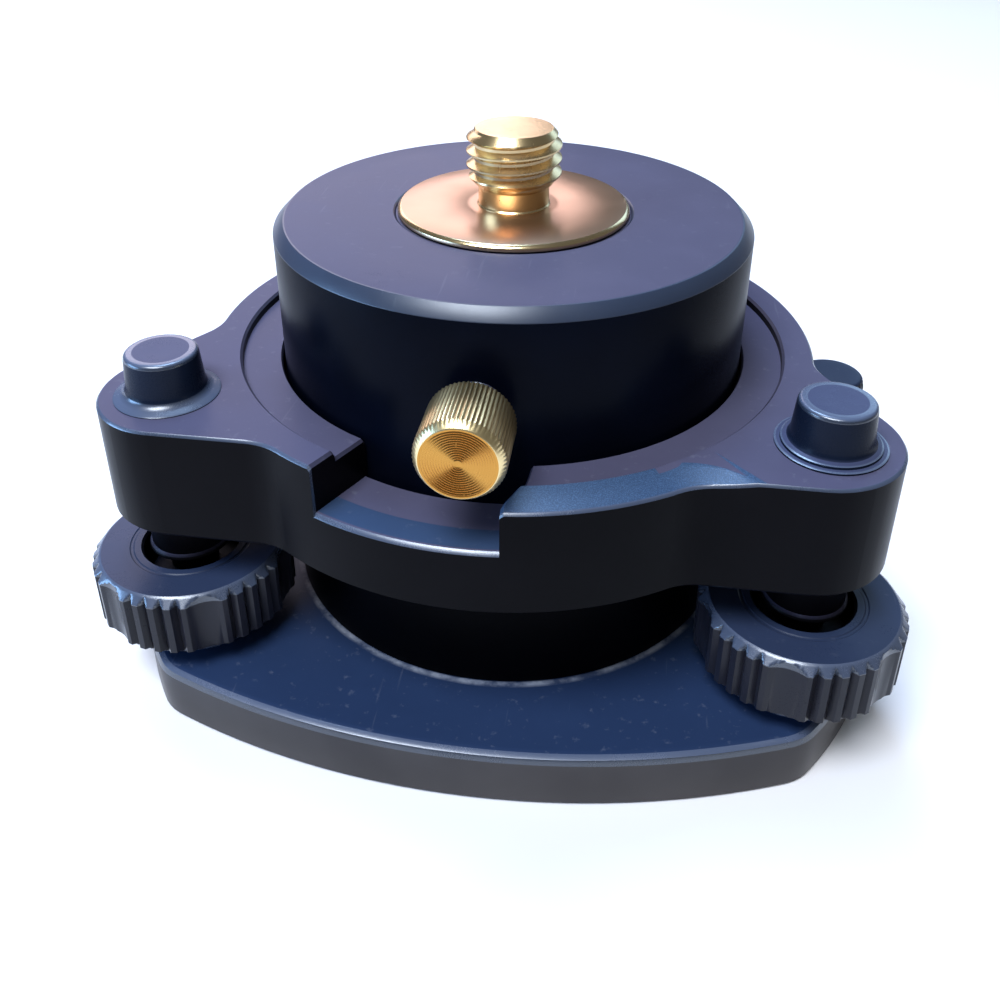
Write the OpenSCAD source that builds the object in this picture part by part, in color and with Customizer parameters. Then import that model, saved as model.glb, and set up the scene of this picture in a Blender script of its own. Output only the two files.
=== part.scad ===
// Tribrach (levelling base) carrying a rotating adapter with a 5/8 inch stud.
// Origin: centre of the base plate's underside. +Z up, the clamp screw faces -Y.
// Foot screws stand at -150 (left), -30 (right) and 90 degrees (rear).

/* [Base plate] */
// Radius of the corner arcs, about the centre axis
base_r = 70; // [66:1:84]
// Radius of the three bowed sides
base_side_r = 140; // [110:5:200]
// Distance from the centre axis to the middle of a side
base_side_d = 56; // [54:0.5:60]
// Thickness of the plate
base_t = 10; // [10:0.5:14]
// Softening where a side runs into a corner
base_corner_blend = 1.2; // [0.4:0.1:2.5]
// Thickness of the star shaped spring plate underneath
spring_t = 1.2; // [0.8:0.1:1.4]
// Radius of the tapped bore for the 5/8 inch tripod screw
tripod_bore_r = 6.75; // [6:0.05:8]
// Outer radius of the tripod bush
bush_r = 12; // [11:0.5:13]
// Outer radius of the hub skirt
skirt_r = 40.9; // [39.5:0.1:41.5]
// Wall of the hub skirt
skirt_wall = 2.5; // [1.5:0.1:2.6]
// Height of the hub skirt above the plate
skirt_h = 18; // [14:0.5:18.5]

/* [Foot screws] */
// Radius of the circle through the three foot screws
foot_circle_r = 60.1; // [59.5:0.1:62]
// Radius of a foot screw's threaded spindle
spindle_r = 4; // [3.5:0.1:4.3]
// Radius of the ball at the foot of a spindle
ball_r = 4; // [3.6:0.1:4.2]
// Outer radius of a knob
knob_r = 16.75; // [15:0.25:17.5]
// Height of a knob
knob_h = 11.6; // [10.6:0.1:13]
// Gap between the base plate and a knob
knob_gap = 4.1; // [3.8:0.1:5]
// Chamfer on the top rim of a knob
knob_chamfer = 1.4; // [0.6:0.1:2]
// Depth of the grip cuts in the rim
grip_depth = 1.0; // [0.5:0.1:1.4]
// Pitch of the levelling thread, for the travel per turn
foot_pitch = 0.75; // [0.5:0.05:1]

/* [Tribrach body] */
// Height of the body's underside above the base plate's underside
body_z = 35.7; // [35.4:0.1:37]
// Thickness of the body
body_t = 19.5; // [19:0.5:22]
// Radius of the body's round barrel
barrel_r = 52.8; // [51.5:0.1:53.5]
// Distance from the centre axis to a lobe's straight side
lobe_side_d = 42.2; // [41.5:0.1:43.5]
// Radius of a lobe's rounded nose
lobe_nose_r = 13.3; // [12.5:0.1:14]
// Radius of the hollow corner between lobe and barrel
lobe_fillet_r = 10; // [7:0.5:11]
// Radius of the socket that takes the adapter
socket_r = 42; // [41.5:0.1:42.5]
// Height of the socket's floor above the body's underside
socket_floor_h = 8.8; // [8.6:0.1:9.4]
// Radius of the shallow recess round the socket
recess_r = 47.5; // [46:0.1:48.5]
// Depth of the shallow recess
recess_d = 1.5; // [0.5:0.1:2.5]
// Depth of the front notch below the deck
notch_d = 8.3; // [5:0.1:9]
// Angle of the notch's left wall
notch_left_a = -116; // [-122:1:-105]
// Fall of the broad rim bevel across the rim
bevel_fall = 1.45; // [0.5:0.05:3]

/* [Caps and sleeves] */
// Radius of a dust cap at its top
cap_r = 5.8; // [5.4:0.1:6.2]
// Height of a dust cap above the deck
cap_h = 7.7; // [7.2:0.1:10]
// Radius of the flared foot of a dust cap
cap_flare_r = 8.4; // [7.4:0.1:9]
// Outer radius of the sleeve under each lobe
sleeve_r = 7; // [6.6:0.1:7.4]
// Length of the sleeve below the body
sleeve_drop = 9.6; // [9:0.1:9.8]

/* [Lock] */
// Radius of the circle through the adapter's three locking studs
stud_circle_r = 28; // [27.5:0.1:28.5]
// Radius of a locking stud's head
stud_head_r = 4.8; // [4.2:0.1:5]
// Radius of a locking stud's waist
stud_waist_r = 3; // [2.5:0.1:3.4]
// Thickness of the lock plate
lock_t = 2.6; // [2:0.1:2.8]
// Angle of the lever with the lock open
lever_a = 10; // [6:1:14]
// Turn of the lever from open to locked
lock_turn = 35; // [30:1:40]
// Distance of the lever's grip from the centre axis
lever_grip_d = 59.6; // [59.4:0.1:62]
// Radius of the lever's grip
lever_grip_r = 6.2; // [4.5:0.1:6.3]
// Height of the lever's grip
lever_grip_h = 8.6; // [7:0.1:9]

/* [Circular level] */
// Angle of the level round the body
level_a = 124; // [122:1:128]
// Distance of the level from the centre axis
level_d = 62.5; // [62:0.1:64]
// Outer radius of the level's housing
level_r = 9; // [8:0.1:9.5]
// Radius of the level's glass
level_glass_r = 6.6; // [5.5:0.1:7]

/* [Adapter] */
// Radius of the adapter drum
drum_r = 40.3; // [39:0.1:40.8]
// Height of the adapter drum
drum_h = 33.6; // [32:0.1:36]
// Chamfer round the drum's top edge
drum_chamfer = 1.75; // [0.5:0.05:3]
// Radius of the rotating brass flange
flange_r = 19.6; // [18:0.1:22]
// Height of the brass flange above the drum
flange_h = 1; // [0.8:0.1:2]
// Radius of the brass spindle inside the drum
shaft_r = 9; // [8:0.1:9.5]
// Radius over the thread of the 5/8 inch stud
stud_r = 7.9375; // [7.9375]
// Height of the stud above the flange
stud_h = 12.9; // [11:0.1:16]
// Height of the plain relief at the foot of the stud
relief_h = 3.4; // [2:0.1:5]
// Radius of the plain relief
relief_r = 5.95; // [5:0.05:6.5]

/* [Clamp screw] */
// Height of the clamp screw's axis above the drum's underside
clamp_z = 18.1; // [17.2:0.1:19]
// Radius of the knurled clamp knob
clamp_knob_r = 6.5; // [5.5:0.1:7.5]
// Length of the knurled clamp knob
clamp_knob_l = 11.4; // [9:0.1:14]
// Gap between the drum and the clamp knob
clamp_gap = 3.1; // [1:0.1:5]
// Radius of the clamp screw's shank
clamp_shank_r = 3; // [2:0.1:3.2]
// Length of the clamp pad
clamp_pad_l = 4; // [3:0.1:5]

/* [Hidden] */
$fn = 96;

eps = 0.01;          // overlap that keeps cuts clean
fit = 0.05;          // radial clearance of a located or running fit
gap = 0.3;           // free clearance between parts that pass each other
foot_angles = [-150, -30, 90];
side_angles = [-90, 30, 150];
grip_angles = [-62, -103, 20];  // where one finger scallop of each knob points

// base plate and foot screw levels
spring_top = 2 * spring_t;              // the spring plate lies against the pocket's roof
ball_z = base_t - 2.4;                  // centre of the ball in its seat
seat_r = 7;                             // bore for ball seat and retainer
neck_r = ball_r - 1.1;
retainer_flange_t = 1.2;
knob_z = base_t + knob_gap;
knob_top = knob_z + knob_h;
collar_t = 1.4;                         // shoulder of the spindle under the knob
nut_t = 3;
well_r = sleeve_r + 1.2;                // counterbore in the knob that swallows the sleeve
web_t = 4.5;                            // floor of the knob under its nut
grip_pitch_a = 9.5;                     // angle between neighbouring V cuts
scallop_w = 6.4;                        // width of a finger scallop
scallop_r = (scallop_w * scallop_w / 4 + grip_depth * grip_depth) / (2 * grip_depth);

// body levels
deck_z = body_z + body_t;
floor_z = body_z + socket_floor_h;
cavity_r = 36.7;                        // lock cavity in the underside
cavity_top = floor_z - 3.5;
hub_r = 17;                             // boss that the lock plate turns on
hub_bore_r = 13;
hub_z = body_z + 1.2;
bush_flange_z = body_z + 2.3;
bush_flange_t = 1.2;
thread_bush_r = 6;
thread_bush_l = 14;
spindle_top = deck_z + 1.3;
cap_plug_l = 3.2;
cap_bore_r = spindle_r + 0.5;
cap_wall_top = 1.5;
cap_taper = 0.45;
pad_r = 4.5;
pad_proud = 0.4;
pad_circle_r = 36;

// lock
lock_top = cavity_top - 0.2;
lock_z = lock_top - lock_t;
lock_r = 34.4;
tab_w = 8;
slot_margin = 0.35;                     // clearance of the lever's tab in its slot
housing_r = cavity_r - gap;
housing_wall = 1.6;
housing_drop = 4.2;                     // depth of the housing below the body
housing_floor_t = 1.5;
housing_flange_r = 46;
housing_flange_t = 1.5;
housing_screw_r = 42;
housing_screw_angles = [75, 195, 315];
lever_grip_z = lock_z - 1.4;

// circular level
ear_t = 4;
ear_top = deck_z - 8;
level_z = ear_top + 0.6;
level_h = deck_z - level_z;

// adapter
drum_z = floor_z + pad_proud;
drum_top = drum_z + drum_h;
bearing_r = shaft_r + 2;
washer_r = 17;
washer_t = 1;
flange_z = drum_top + 0.1;
flange_top = drum_top + flange_h;
stud_top = flange_top + stud_h;
stud_chamfer = 1.5;
pocket_r = 20;
pocket_h = 5.1;
thread_end_r = 6;
clamp_axis_z = drum_z + clamp_z;
bearing_gap = clamp_shank_r + 1.2;      // keeps both bushes clear of the clamp screw
pad_tip_d = shaft_r + 0.1;
shank_start_d = pad_tip_d + clamp_pad_l;
knob_start_d = drum_r + clamp_gap;
knob_end_d = knob_start_d + clamp_knob_l;
shank_end_d = knob_end_d - 3.4;
clamp_chamfer = 0.9;

// ---- helpers ----

module at_polar(r, a) rotate([0, 0, a]) translate([r, 0, 0]) children();

module at_foot(i) at_polar(foot_circle_r, foot_angles[i]) children();

// plain bored disc or tube
module ring(ro, ri, h) difference() {
    cylinder(r = ro, h = h);
    translate([0, 0, -1]) cylinder(r = ri, h = h + 2);
}

// disc with a chamfered top edge
module chamfered_disc(r, h, c) {
    cylinder(r = r, h = h - c);
    translate([0, 0, h - c]) cylinder(r1 = r, r2 = r - c, h = c);
}

// pan head screw pointing down, its head resting on z = 0
module screw(shank, length, head, head_h) {
    translate([0, 0, -length]) cylinder(r = shank, h = length);
    cylinder(r = head, h = head_h);
}

// points of an outline that repeats every 120 degrees and mirrors about each side's middle
function outline(steps, radius) = [
    for (a = side_angles, s = [-1, 1], k = [0:len(steps) - 1])
        let (d = s < 0 ? -steps[len(steps) - 1 - k] : steps[k])
        if (!(s > 0 && k == 0)) radius(abs(d)) * [cos(a + d), sin(a + d)]
];

// bowed triangle: long side arcs running into the corner arcs
function base_side_at(d) = (base_side_d - base_side_r) * cos(d)
    + sqrt(pow(base_side_r, 2) - pow((base_side_d - base_side_r) * sin(d), 2));
function base_at(d) =
    let (side = base_side_at(d), h = max(base_corner_blend - abs(side - base_r), 0) / base_corner_blend)
    min(side, base_r) - h * h * base_corner_blend / 4;
base_steps = [for (d = [0:2.5:57.5]) d];

module base_outline(h) linear_extrude(height = h)
    polygon(outline(base_steps, function (d) base_at(d)));

// star outline shared by the spring plate and its pocket
module star(grow, h) {
    cylinder(r = 26 + grow, h = h);
    for (a = foot_angles) rotate([0, 0, a]) {
        translate([0, -7 - grow, 0]) cube([foot_circle_r, 14 + 2 * grow, h]);
        translate([foot_circle_r, 0, 0]) cylinder(r = 7 + grow, h = h);
    }
}

// ---- base ----

module base_plate() color("#23232b") difference() {
    base_outline(base_t);
    translate([0, 0, -1]) cylinder(r = bush_r + fit, h = base_t + 2);
    translate([0, 0, -1]) star(0.6, spring_top + 1);
    for (i = [0:2]) at_foot(i) translate([0, 0, 1]) cylinder(r = seat_r, h = base_t);
    for (a = side_angles) {
        at_polar(20, a) translate([0, 0, 1]) cylinder(r = 1.5 + fit, h = base_t - 3);
        at_polar(14.6, a + 60) translate([0, 0, 5]) cylinder(r = 1.25 + fit, h = base_t);
        at_polar(35.4, a) translate([0, 0, 5]) cylinder(r = 1.25 + fit, h = base_t);
    }
}

module hub_skirt() color("#15151a") translate([0, 0, base_t]) difference() {
    union() {
        ring(skirt_r, skirt_r - skirt_wall, skirt_h);
        ring(skirt_r - skirt_wall + eps, 32, 2.2);
    }
    for (a = side_angles) at_polar(35.4, a) translate([0, 0, -1]) cylinder(r = 1.5, h = 5);
}

module skirt_screws() color("#8f9196") for (a = side_angles) {
    at_polar(35.4, a) translate([0, 0, base_t + 2.2]) screw(1.25, 6.4, 2.2, 1.4);
}

module tripod_bush() color("#b08a45") difference() {
    union() {
        cylinder(r = bush_r, h = base_t + eps);
        translate([0, 0, base_t]) cylinder(r = bush_r + 5, h = 2);
    }
    translate([0, 0, -1]) cylinder(r = tripod_bore_r, h = base_t + 4);
    for (a = side_angles) at_polar(14.6, a + 60) translate([0, 0, base_t - 0.5]) cylinder(r = 1.5, h = 5);
}

module bush_screws() color("#8f9196") for (a = side_angles) {
    at_polar(14.6, a + 60) translate([0, 0, base_t + 2]) screw(1.25, 6.2, 2.2, 1.4);
}

module spring_plate() color("#7d7f84") translate([0, 0, spring_top - spring_t]) difference() {
    star(0, spring_t);
    translate([0, 0, -1]) cylinder(r = bush_r + 1, h = spring_t + 2);
    for (a = side_angles) at_polar(20, a) translate([0, 0, -1]) cylinder(r = 1.5 + fit, h = spring_t + 2);
}

module spring_plate_screws() color("#8f9196") for (a = side_angles) {
    at_polar(20, a) translate([0, 0, spring_top - spring_t]) rotate([180, 0, 0]) screw(1.5, 5.5, 2.8, 1);
}

module ball_seat(i) color("#a97c3c") at_foot(i) difference() {
    translate([0, 0, spring_top]) cylinder(r = seat_r - fit, h = ball_z - 0.8 - spring_top);
    translate([0, 0, ball_z]) sphere(r = ball_r + fit);
}

module ball_retainer(i) color("#3a3a40") at_foot(i) difference() {
    union() {
        translate([0, 0, ball_z + 0.8]) cylinder(r = seat_r - fit, h = base_t - ball_z - 0.8 + eps);
        translate([0, 0, base_t]) chamfered_disc(seat_r + 2, retainer_flange_t, 0.4);
    }
    translate([0, 0, ball_z + 0.8 - eps]) cylinder(r1 = ball_r + 0.2, r2 = neck_r + 0.5, h = 2);
    translate([0, 0, ball_z + 2.7]) cylinder(r = neck_r + 0.5, h = 4);
}

// ---- foot screws ----

module spindle(i) color("#9a9ca1") at_foot(i) {
    translate([0, 0, ball_z]) sphere(r = ball_r);
    translate([0, 0, ball_z]) cylinder(r = neck_r, h = knob_z - ball_z);
    translate([0, 0, knob_z - collar_t]) cylinder(r = spindle_r + 2, h = collar_t);
    translate([0, 0, knob_z - eps]) cylinder(r = spindle_r, h = spindle_top - knob_z);
}

// rim cuts of a knob: six finger scallops, and four V cuts between each pair
module grip_cuts(h) for (k = [0:5]) rotate([0, 0, 60 * k]) {
    translate([knob_r + scallop_r - grip_depth, 0, -1]) cylinder(r = scallop_r, h = h + 2);
    for (j = [-1.5:1:1.5]) rotate([0, 0, 30 + j * grip_pitch_a])
        translate([knob_r - grip_depth, 0, -1]) linear_extrude(height = h + 2)
            polygon([[0, 0], [2, -1.7], [2, 1.7]]);
}

module knob(i) color("#2a2a33") at_foot(i) translate([0, 0, knob_z]) difference() {
    chamfered_disc(knob_r, knob_h, knob_chamfer);
    rotate([0, 0, grip_angles[i] - foot_angles[i]]) grip_cuts(knob_h);
    translate([0, 0, -1]) cylinder(r = spindle_r + fit, h = knob_h + 2);
    translate([0, 0, web_t]) cylinder(r = well_r, h = knob_h);
}

module knob_nut(i) color("#8f9196") at_foot(i) translate([0, 0, knob_z + web_t]) difference() {
    cylinder(r = 7.4, h = nut_t, $fn = 6);
    translate([0, 0, -1]) cylinder(r = spindle_r + fit, h = nut_t + 2);
}

// ---- tribrach body ----

nose_d = 2 * (lobe_side_d - lobe_nose_r);               // centre of a nose from the axis
fillet_d = barrel_r + lobe_fillet_r;                    // centre of a hollow corner from the axis
fillet_a = acos((lobe_side_d + lobe_fillet_r) / fillet_d);

// radius of the body at an angle from the middle of a side: barrel, hollow corner, side, nose
straight_a = atan(fillet_d * sin(fillet_a) / lobe_side_d);
nose_a = atan(nose_d * sin(60) / lobe_side_d);
function body_at(d) =
    d <= fillet_a ? barrel_r :
    d <= straight_a ? fillet_d * cos(d - fillet_a)
        - sqrt(pow(lobe_fillet_r, 2) - pow(fillet_d * sin(d - fillet_a), 2)) :
    d <= nose_a ? lobe_side_d / cos(d) :
    nose_d * cos(60 - d) + sqrt(pow(lobe_nose_r, 2) - pow(nose_d * sin(60 - d), 2));
body_steps = concat(
    [for (k = [0:12]) fillet_a * k / 12],
    [for (k = [1:5]) fillet_a + (straight_a - fillet_a) * k / 5],
    [for (k = [0:9]) nose_a + (60 - nose_a) * k / 9.5]
);

module body_outline(h) linear_extrude(height = h)
    polygon(outline(body_steps, function (d) body_at(d)));

// front notch: its left wall is radial, its right wall leans outward towards the socket
module notch() translate([0, 0, deck_z - notch_d]) linear_extrude(height = notch_d + 1) polygon([
    [34 * cos(notch_left_a), 34 * sin(notch_left_a)],
    [60 * cos(notch_left_a), 60 * sin(notch_left_a)],
    [5.2, -60], [5.2, -51.5], [7.6, -46.5], [7.6, -34]
]);

// broad bevel on the front rim, from the notch round to the right lobe
module rim_bevel() {
    slope = bevel_fall / (barrel_r - recess_r);
    end_a = -57.4;
    swing_r = 11.9;                     // the bevel's far end swings out round this radius
    translate([0, 0, deck_z - 0.06]) {
        rotate([0, 0, -95]) rotate_extrude(angle = end_a + 95) polygon([
            [recess_r - 0.4, 0.4 * slope], [recess_r + 12, -12 * slope],
            [recess_r + 12, 1], [recess_r - 0.4, 1]
        ]);
        at_polar(recess_r + swing_r, end_a) translate([0, 0, -swing_r * slope])
            cylinder(r1 = 0.01, r2 = swing_r + 0.3 / slope, h = swing_r * slope + 0.3);
    }
}

// shelf that carries the circular level
module level_ear() at_polar(0, level_a) translate([0, 0, ear_top - ear_t]) {
    translate([level_d, 0, 0]) cylinder(r = level_r + 0.5, h = ear_t);
    translate([barrel_r - 8, -level_r - 0.5, 0]) cube([level_d - barrel_r + 8, 2 * level_r + 1, ear_t]);
}

module lever_slot() {
    half = asin((tab_w / 2 + slot_margin) / (cavity_r - 1.5));
    translate([0, 0, lock_z - slot_margin]) rotate([0, 0, lever_a - half])
        rotate_extrude(angle = lock_turn + 2 * half)
            polygon([[cavity_r - 2, 0], [80, 0], [80, lock_t + slot_margin + 0.1],
                [cavity_r - 2, lock_t + slot_margin + 0.1]]);
}

module tribrach_body() color("#26262f") difference() {
    union() {
        translate([0, 0, body_z]) body_outline(body_t);
        level_ear();
    }
    translate([0, 0, floor_z]) cylinder(r = socket_r, h = 60);
    translate([0, 0, deck_z - recess_d]) cylinder(r = recess_r, h = 10);
    notch();
    rim_bevel();
    difference() {                      // lock cavity, leaving the boss
        translate([0, 0, body_z - 1]) cylinder(r = cavity_r, h = cavity_top - body_z + 1);
        translate([0, 0, hub_z]) cylinder(r = hub_r, h = 20);
    }
    translate([0, 0, body_z - 1]) cylinder(r = hub_bore_r, h = 30);
    lever_slot();
    for (a = foot_angles) at_polar(stud_circle_r, a) translate([0, 0, body_z]) cylinder(r = stud_head_r + 0.4, h = 20);
    for (a = side_angles) {
        at_polar(pad_circle_r, a) translate([0, 0, floor_z - 1]) cylinder(r = pad_r + fit, h = 3);
        at_polar(15, a) translate([0, 0, hub_z - 1]) cylinder(r = 0.9 + fit, h = 5);
    }
    for (a = housing_screw_angles) at_polar(housing_screw_r, a) translate([0, 0, body_z - 1]) cylinder(r = 1.25 + fit, h = 7.5);
    for (i = [0:2]) at_foot(i) {
        translate([0, 0, body_z - 1]) cylinder(r = thread_bush_r + fit, h = body_t + 2);
        translate([0, 0, body_z - 1]) cylinder(r = sleeve_r + fit, h = bush_flange_z + bush_flange_t - body_z + 1);
    }
    for (a = [0, 120, 240]) at_polar(level_d, level_a) at_polar(5.4, a)
        translate([0, 0, ear_top - ear_t - 1]) cylinder(r = 1.1 + fit, h = ear_t + 2);
}

module thread_bush(i) color("#a97c3c") at_foot(i) translate([0, 0, bush_flange_z]) difference() {
    union() {
        cylinder(r = sleeve_r, h = bush_flange_t);
        cylinder(r = thread_bush_r, h = thread_bush_l);
    }
    translate([0, 0, -1]) cylinder(r = spindle_r + fit, h = thread_bush_l + 2);
}

module dust_sleeve(i) color("#22222a") at_foot(i) translate([0, 0, body_z - sleeve_drop]) difference() {
    union() {
        cylinder(r1 = sleeve_r - 0.6, r2 = sleeve_r, h = 0.6);
        translate([0, 0, 0.6]) cylinder(r = sleeve_r, h = bush_flange_z - body_z + sleeve_drop - 0.6);
    }
    translate([0, 0, -1]) cylinder(r = spindle_r + 1, h = 30);
}

module dust_cap(i) color("#2b2b35") at_foot(i) translate([0, 0, deck_z]) difference() {
    union() {
        translate([0, 0, -cap_plug_l]) cylinder(r = thread_bush_r, h = cap_plug_l + eps);
        cylinder(r1 = cap_flare_r, r2 = cap_r + cap_taper, h = 0.8);
        translate([0, 0, 0.8]) cylinder(r1 = cap_r + cap_taper, r2 = cap_r, h = cap_h - 1.5);
        translate([0, 0, cap_h - 0.7]) cylinder(r1 = cap_r, r2 = cap_r - 0.7, h = 0.7);
    }
    translate([0, 0, -cap_plug_l - 1]) cylinder(r = cap_bore_r, h = cap_plug_l + 1 + cap_h - cap_wall_top);
}

module seat_pads() color("#a4a6ab") for (a = side_angles) {
    at_polar(pad_circle_r, a) translate([0, 0, floor_z - 1]) cylinder(r = pad_r, h = 1 + pad_proud);
}

module lock_housing() color("#1d1d23") difference() {
    union() {
        translate([0, 0, body_z - housing_drop]) cylinder(r = housing_r, h = housing_drop + 1.3);
        translate([0, 0, body_z - housing_flange_t]) cylinder(r = housing_flange_r, h = housing_flange_t);
    }
    translate([0, 0, body_z - housing_drop + housing_floor_t]) cylinder(r = housing_r - housing_wall, h = 20);
    translate([0, 0, body_z - housing_drop - 1]) cylinder(r = hub_bore_r, h = 4);
    for (a = housing_screw_angles) at_polar(housing_screw_r, a) translate([0, 0, body_z - 3]) cylinder(r = 1.5, h = 6);
}

module housing_screws() color("#8f9196") for (a = housing_screw_angles) {
    at_polar(housing_screw_r, a) translate([0, 0, body_z - housing_flange_t]) rotate([180, 0, 0]) screw(1.25, 7.2, 2.2, 1.1);
}

module lock_retainer() color("#7d7f84") translate([0, 0, hub_z - 1.2]) difference() {
    ring(hub_r + 4, hub_bore_r, 1.2);
    for (a = side_angles) at_polar(15, a) translate([0, 0, -1]) cylinder(r = 1.1, h = 4);
}

module retainer_screws() color("#8f9196") for (a = side_angles) {
    at_polar(15, a) translate([0, 0, hub_z - 1.2]) rotate([180, 0, 0]) screw(0.9, 4.6, 1.6, 0.8);
}

module wave_spring() color("#97999e") translate([0, 0, hub_z]) ring(hub_r + 3.6, hub_r + 0.3, lock_z - hub_z);

// ---- circular level ----

module level_housing() color("#1c1c22") at_polar(level_d, level_a) translate([0, 0, level_z]) difference() {
    chamfered_disc(level_r, level_h, 0.5);
    translate([0, 0, 1.6]) cylinder(r = level_glass_r + fit, h = level_h);
    for (a = [0, 120, 240]) at_polar(5.4, a) translate([0, 0, -1]) cylinder(r = 1.1 + fit, h = 2.2);
}

module level_vial() color("#d8ecc0") at_polar(level_d, level_a) translate([0, 0, level_z + 1.6]) cylinder(r = level_glass_r, h = level_h - 1.9);

module level_screws() color("#b08a45") at_polar(level_d, level_a) for (a = [0, 120, 240]) {
    at_polar(5.4, a) translate([0, 0, ear_top - ear_t]) rotate([180, 0, 0]) screw(1.1, ear_t + 1.6, 1.9, 1.3);
}

// ---- lock ----

// bayonet slots: a round window for the stud's head and a narrow arc for its waist
module bayonet_slots() for (a = foot_angles) {
    half = asin((stud_waist_r + gap) / stud_circle_r);
    at_polar(stud_circle_r, a) translate([0, 0, -1]) cylinder(r = stud_head_r + 0.4, h = lock_t + 2);
    at_polar(stud_circle_r, a - lock_turn) translate([0, 0, -1]) cylinder(r = stud_waist_r + gap, h = lock_t + 2);
    rotate([0, 0, a - lock_turn]) rotate_extrude(angle = lock_turn)
        translate([stud_circle_r - stud_waist_r - gap, -1]) square([2 * (stud_waist_r + gap), lock_t + 2]);
}

module lock_plate() color("#85878c") translate([0, 0, lock_z]) difference() {
    union() {
        cylinder(r = lock_r, h = lock_t);
        rotate([0, 0, lever_a]) translate([lock_r - 4, -tab_w / 2, 0]) cube([lever_grip_d - lock_r + 6, tab_w, lock_t]);
    }
    translate([0, 0, -1]) cylinder(r = hub_r + fit, h = lock_t + 2);
    bayonet_slots();
    at_polar(lever_grip_d, lever_a) translate([0, 0, -1]) cylinder(r = 1.5, h = lock_t + 2);
}

module lock_lever() color("#1b1b22") at_polar(lever_grip_d, lever_a) difference() {
    translate([0, 0, lever_grip_z]) union() {
        cylinder(r = lever_grip_r, h = lever_grip_h - 0.8);
        translate([0, 0, lever_grip_h - 0.8]) cylinder(r1 = lever_grip_r, r2 = lever_grip_r - 0.8, h = 0.8);
    }
    translate([-20, -tab_w / 2 - 0.05, lock_z]) cube([22.1, tab_w + 0.1, lock_t]);
    translate([0, 0, lever_grip_z - 1]) cylinder(r = 1.25 + fit, h = 7);
}

module lever_screw() color("#8f9196") at_polar(lever_grip_d, lever_a) {
    translate([0, 0, lever_grip_z]) rotate([180, 0, 0]) screw(1.25, 5.6, 2.3, 1);
}

// ---- adapter ----

module adapter_drum() color("#1e2230") difference() {
    translate([0, 0, drum_z]) chamfered_disc(drum_r, drum_h, drum_chamfer);
    translate([0, 0, drum_z - 1]) cylinder(r = bearing_r + fit, h = drum_h + 2);
    translate([0, 0, drum_top - washer_t]) cylinder(r = washer_r + fit, h = washer_t + 1);
    translate([0, 0, drum_z - 1]) cylinder(r = pocket_r, h = pocket_h + 1);
    translate([0, 0, clamp_axis_z]) rotate([90, 0, 0]) cylinder(r = clamp_shank_r + fit, h = drum_r + 1);
    for (a = foot_angles) at_polar(stud_circle_r, a) translate([0, 0, drum_z - 1]) cylinder(r = 3.5 + fit, h = 10);
}

module top_bush() color("#a97c3c") translate([0, 0, clamp_axis_z + bearing_gap])
    ring(bearing_r, shaft_r + fit, drum_top - washer_t - clamp_axis_z - bearing_gap);

module bottom_bush() color("#a97c3c") translate([0, 0, drum_z + pocket_h])
    ring(bearing_r, shaft_r + fit, clamp_axis_z - bearing_gap - drum_z - pocket_h);

module thrust_washer() color("#e8e4d8") translate([0, 0, drum_top - washer_t])
    ring(washer_r, shaft_r + gap, washer_t + 0.1);

module locking_stud(i) color("#9a9ca1") at_polar(stud_circle_r, foot_angles[i]) {
    waist_top = cavity_top + 0.1;
    waist_z = lock_z - gap;
    translate([0, 0, drum_z - eps]) cylinder(r = 3.5, h = 8);
    translate([0, 0, waist_top]) cylinder(r = stud_head_r, h = drum_z - waist_top);
    translate([0, 0, waist_z - eps]) cylinder(r = stud_waist_r, h = waist_top - waist_z + 2 * eps);
    translate([0, 0, waist_z - 2]) cylinder(r = stud_head_r, h = 2);
    translate([0, 0, waist_z - 3]) cylinder(r1 = stud_head_r - 1, r2 = stud_head_r, h = 1);
}

module brass_spindle() color("#c89a4b") {
    translate([0, 0, drum_z + pocket_h - 1.2]) cylinder(r = shaft_r, h = flange_z - drum_z - pocket_h + 1.2 + eps);
    translate([0, 0, drum_z + 0.3]) cylinder(r = thread_end_r, h = pocket_h);
    translate([0, 0, flange_z]) chamfered_disc(flange_r, flange_top - flange_z, 0.3);
    translate([0, 0, flange_top - eps]) cylinder(r = relief_r, h = stud_h / 2);
    translate([0, 0, flange_top + relief_h]) cylinder(r = stud_r, h = stud_h - relief_h - stud_chamfer);
    translate([0, 0, stud_top - stud_chamfer]) cylinder(r1 = stud_r, r2 = stud_r - stud_chamfer, h = stud_chamfer);
}

module spindle_washer() color("#97999e") translate([0, 0, drum_z + pocket_h - 1.2])
    ring(shaft_r + 5, shaft_r + fit, 1.2);

module spindle_nut() color("#8f9196") translate([0, 0, drum_z + 0.9]) difference() {
    cylinder(r = 12, h = pocket_h - 2.1, $fn = 6);
    translate([0, 0, -1]) cylinder(r = thread_end_r + fit, h = 10);
}

// ---- clamp screw, along -Y ----

module along_clamp(d) translate([0, -d, clamp_axis_z]) rotate([90, 0, 0]) children();

module clamp_pad() color("#c2a05c") along_clamp(pad_tip_d) cylinder(r = clamp_shank_r - 0.1, h = clamp_pad_l);

module clamp_shank() color("#9a9ca1") along_clamp(shank_start_d)
    cylinder(r = clamp_shank_r, h = shank_end_d - shank_start_d);

module clamp_knob() color("#c9983f") along_clamp(knob_start_d) difference() {
    union() {
        cylinder(r1 = clamp_knob_r - 0.5, r2 = clamp_knob_r, h = 0.5);
        translate([0, 0, 0.5]) chamfered_disc(clamp_knob_r, clamp_knob_l - 0.5, clamp_chamfer);
    }
    translate([0, 0, -1]) cylinder(r = clamp_shank_r + fit, h = 1 + shank_end_d - knob_start_d);
}

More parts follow.
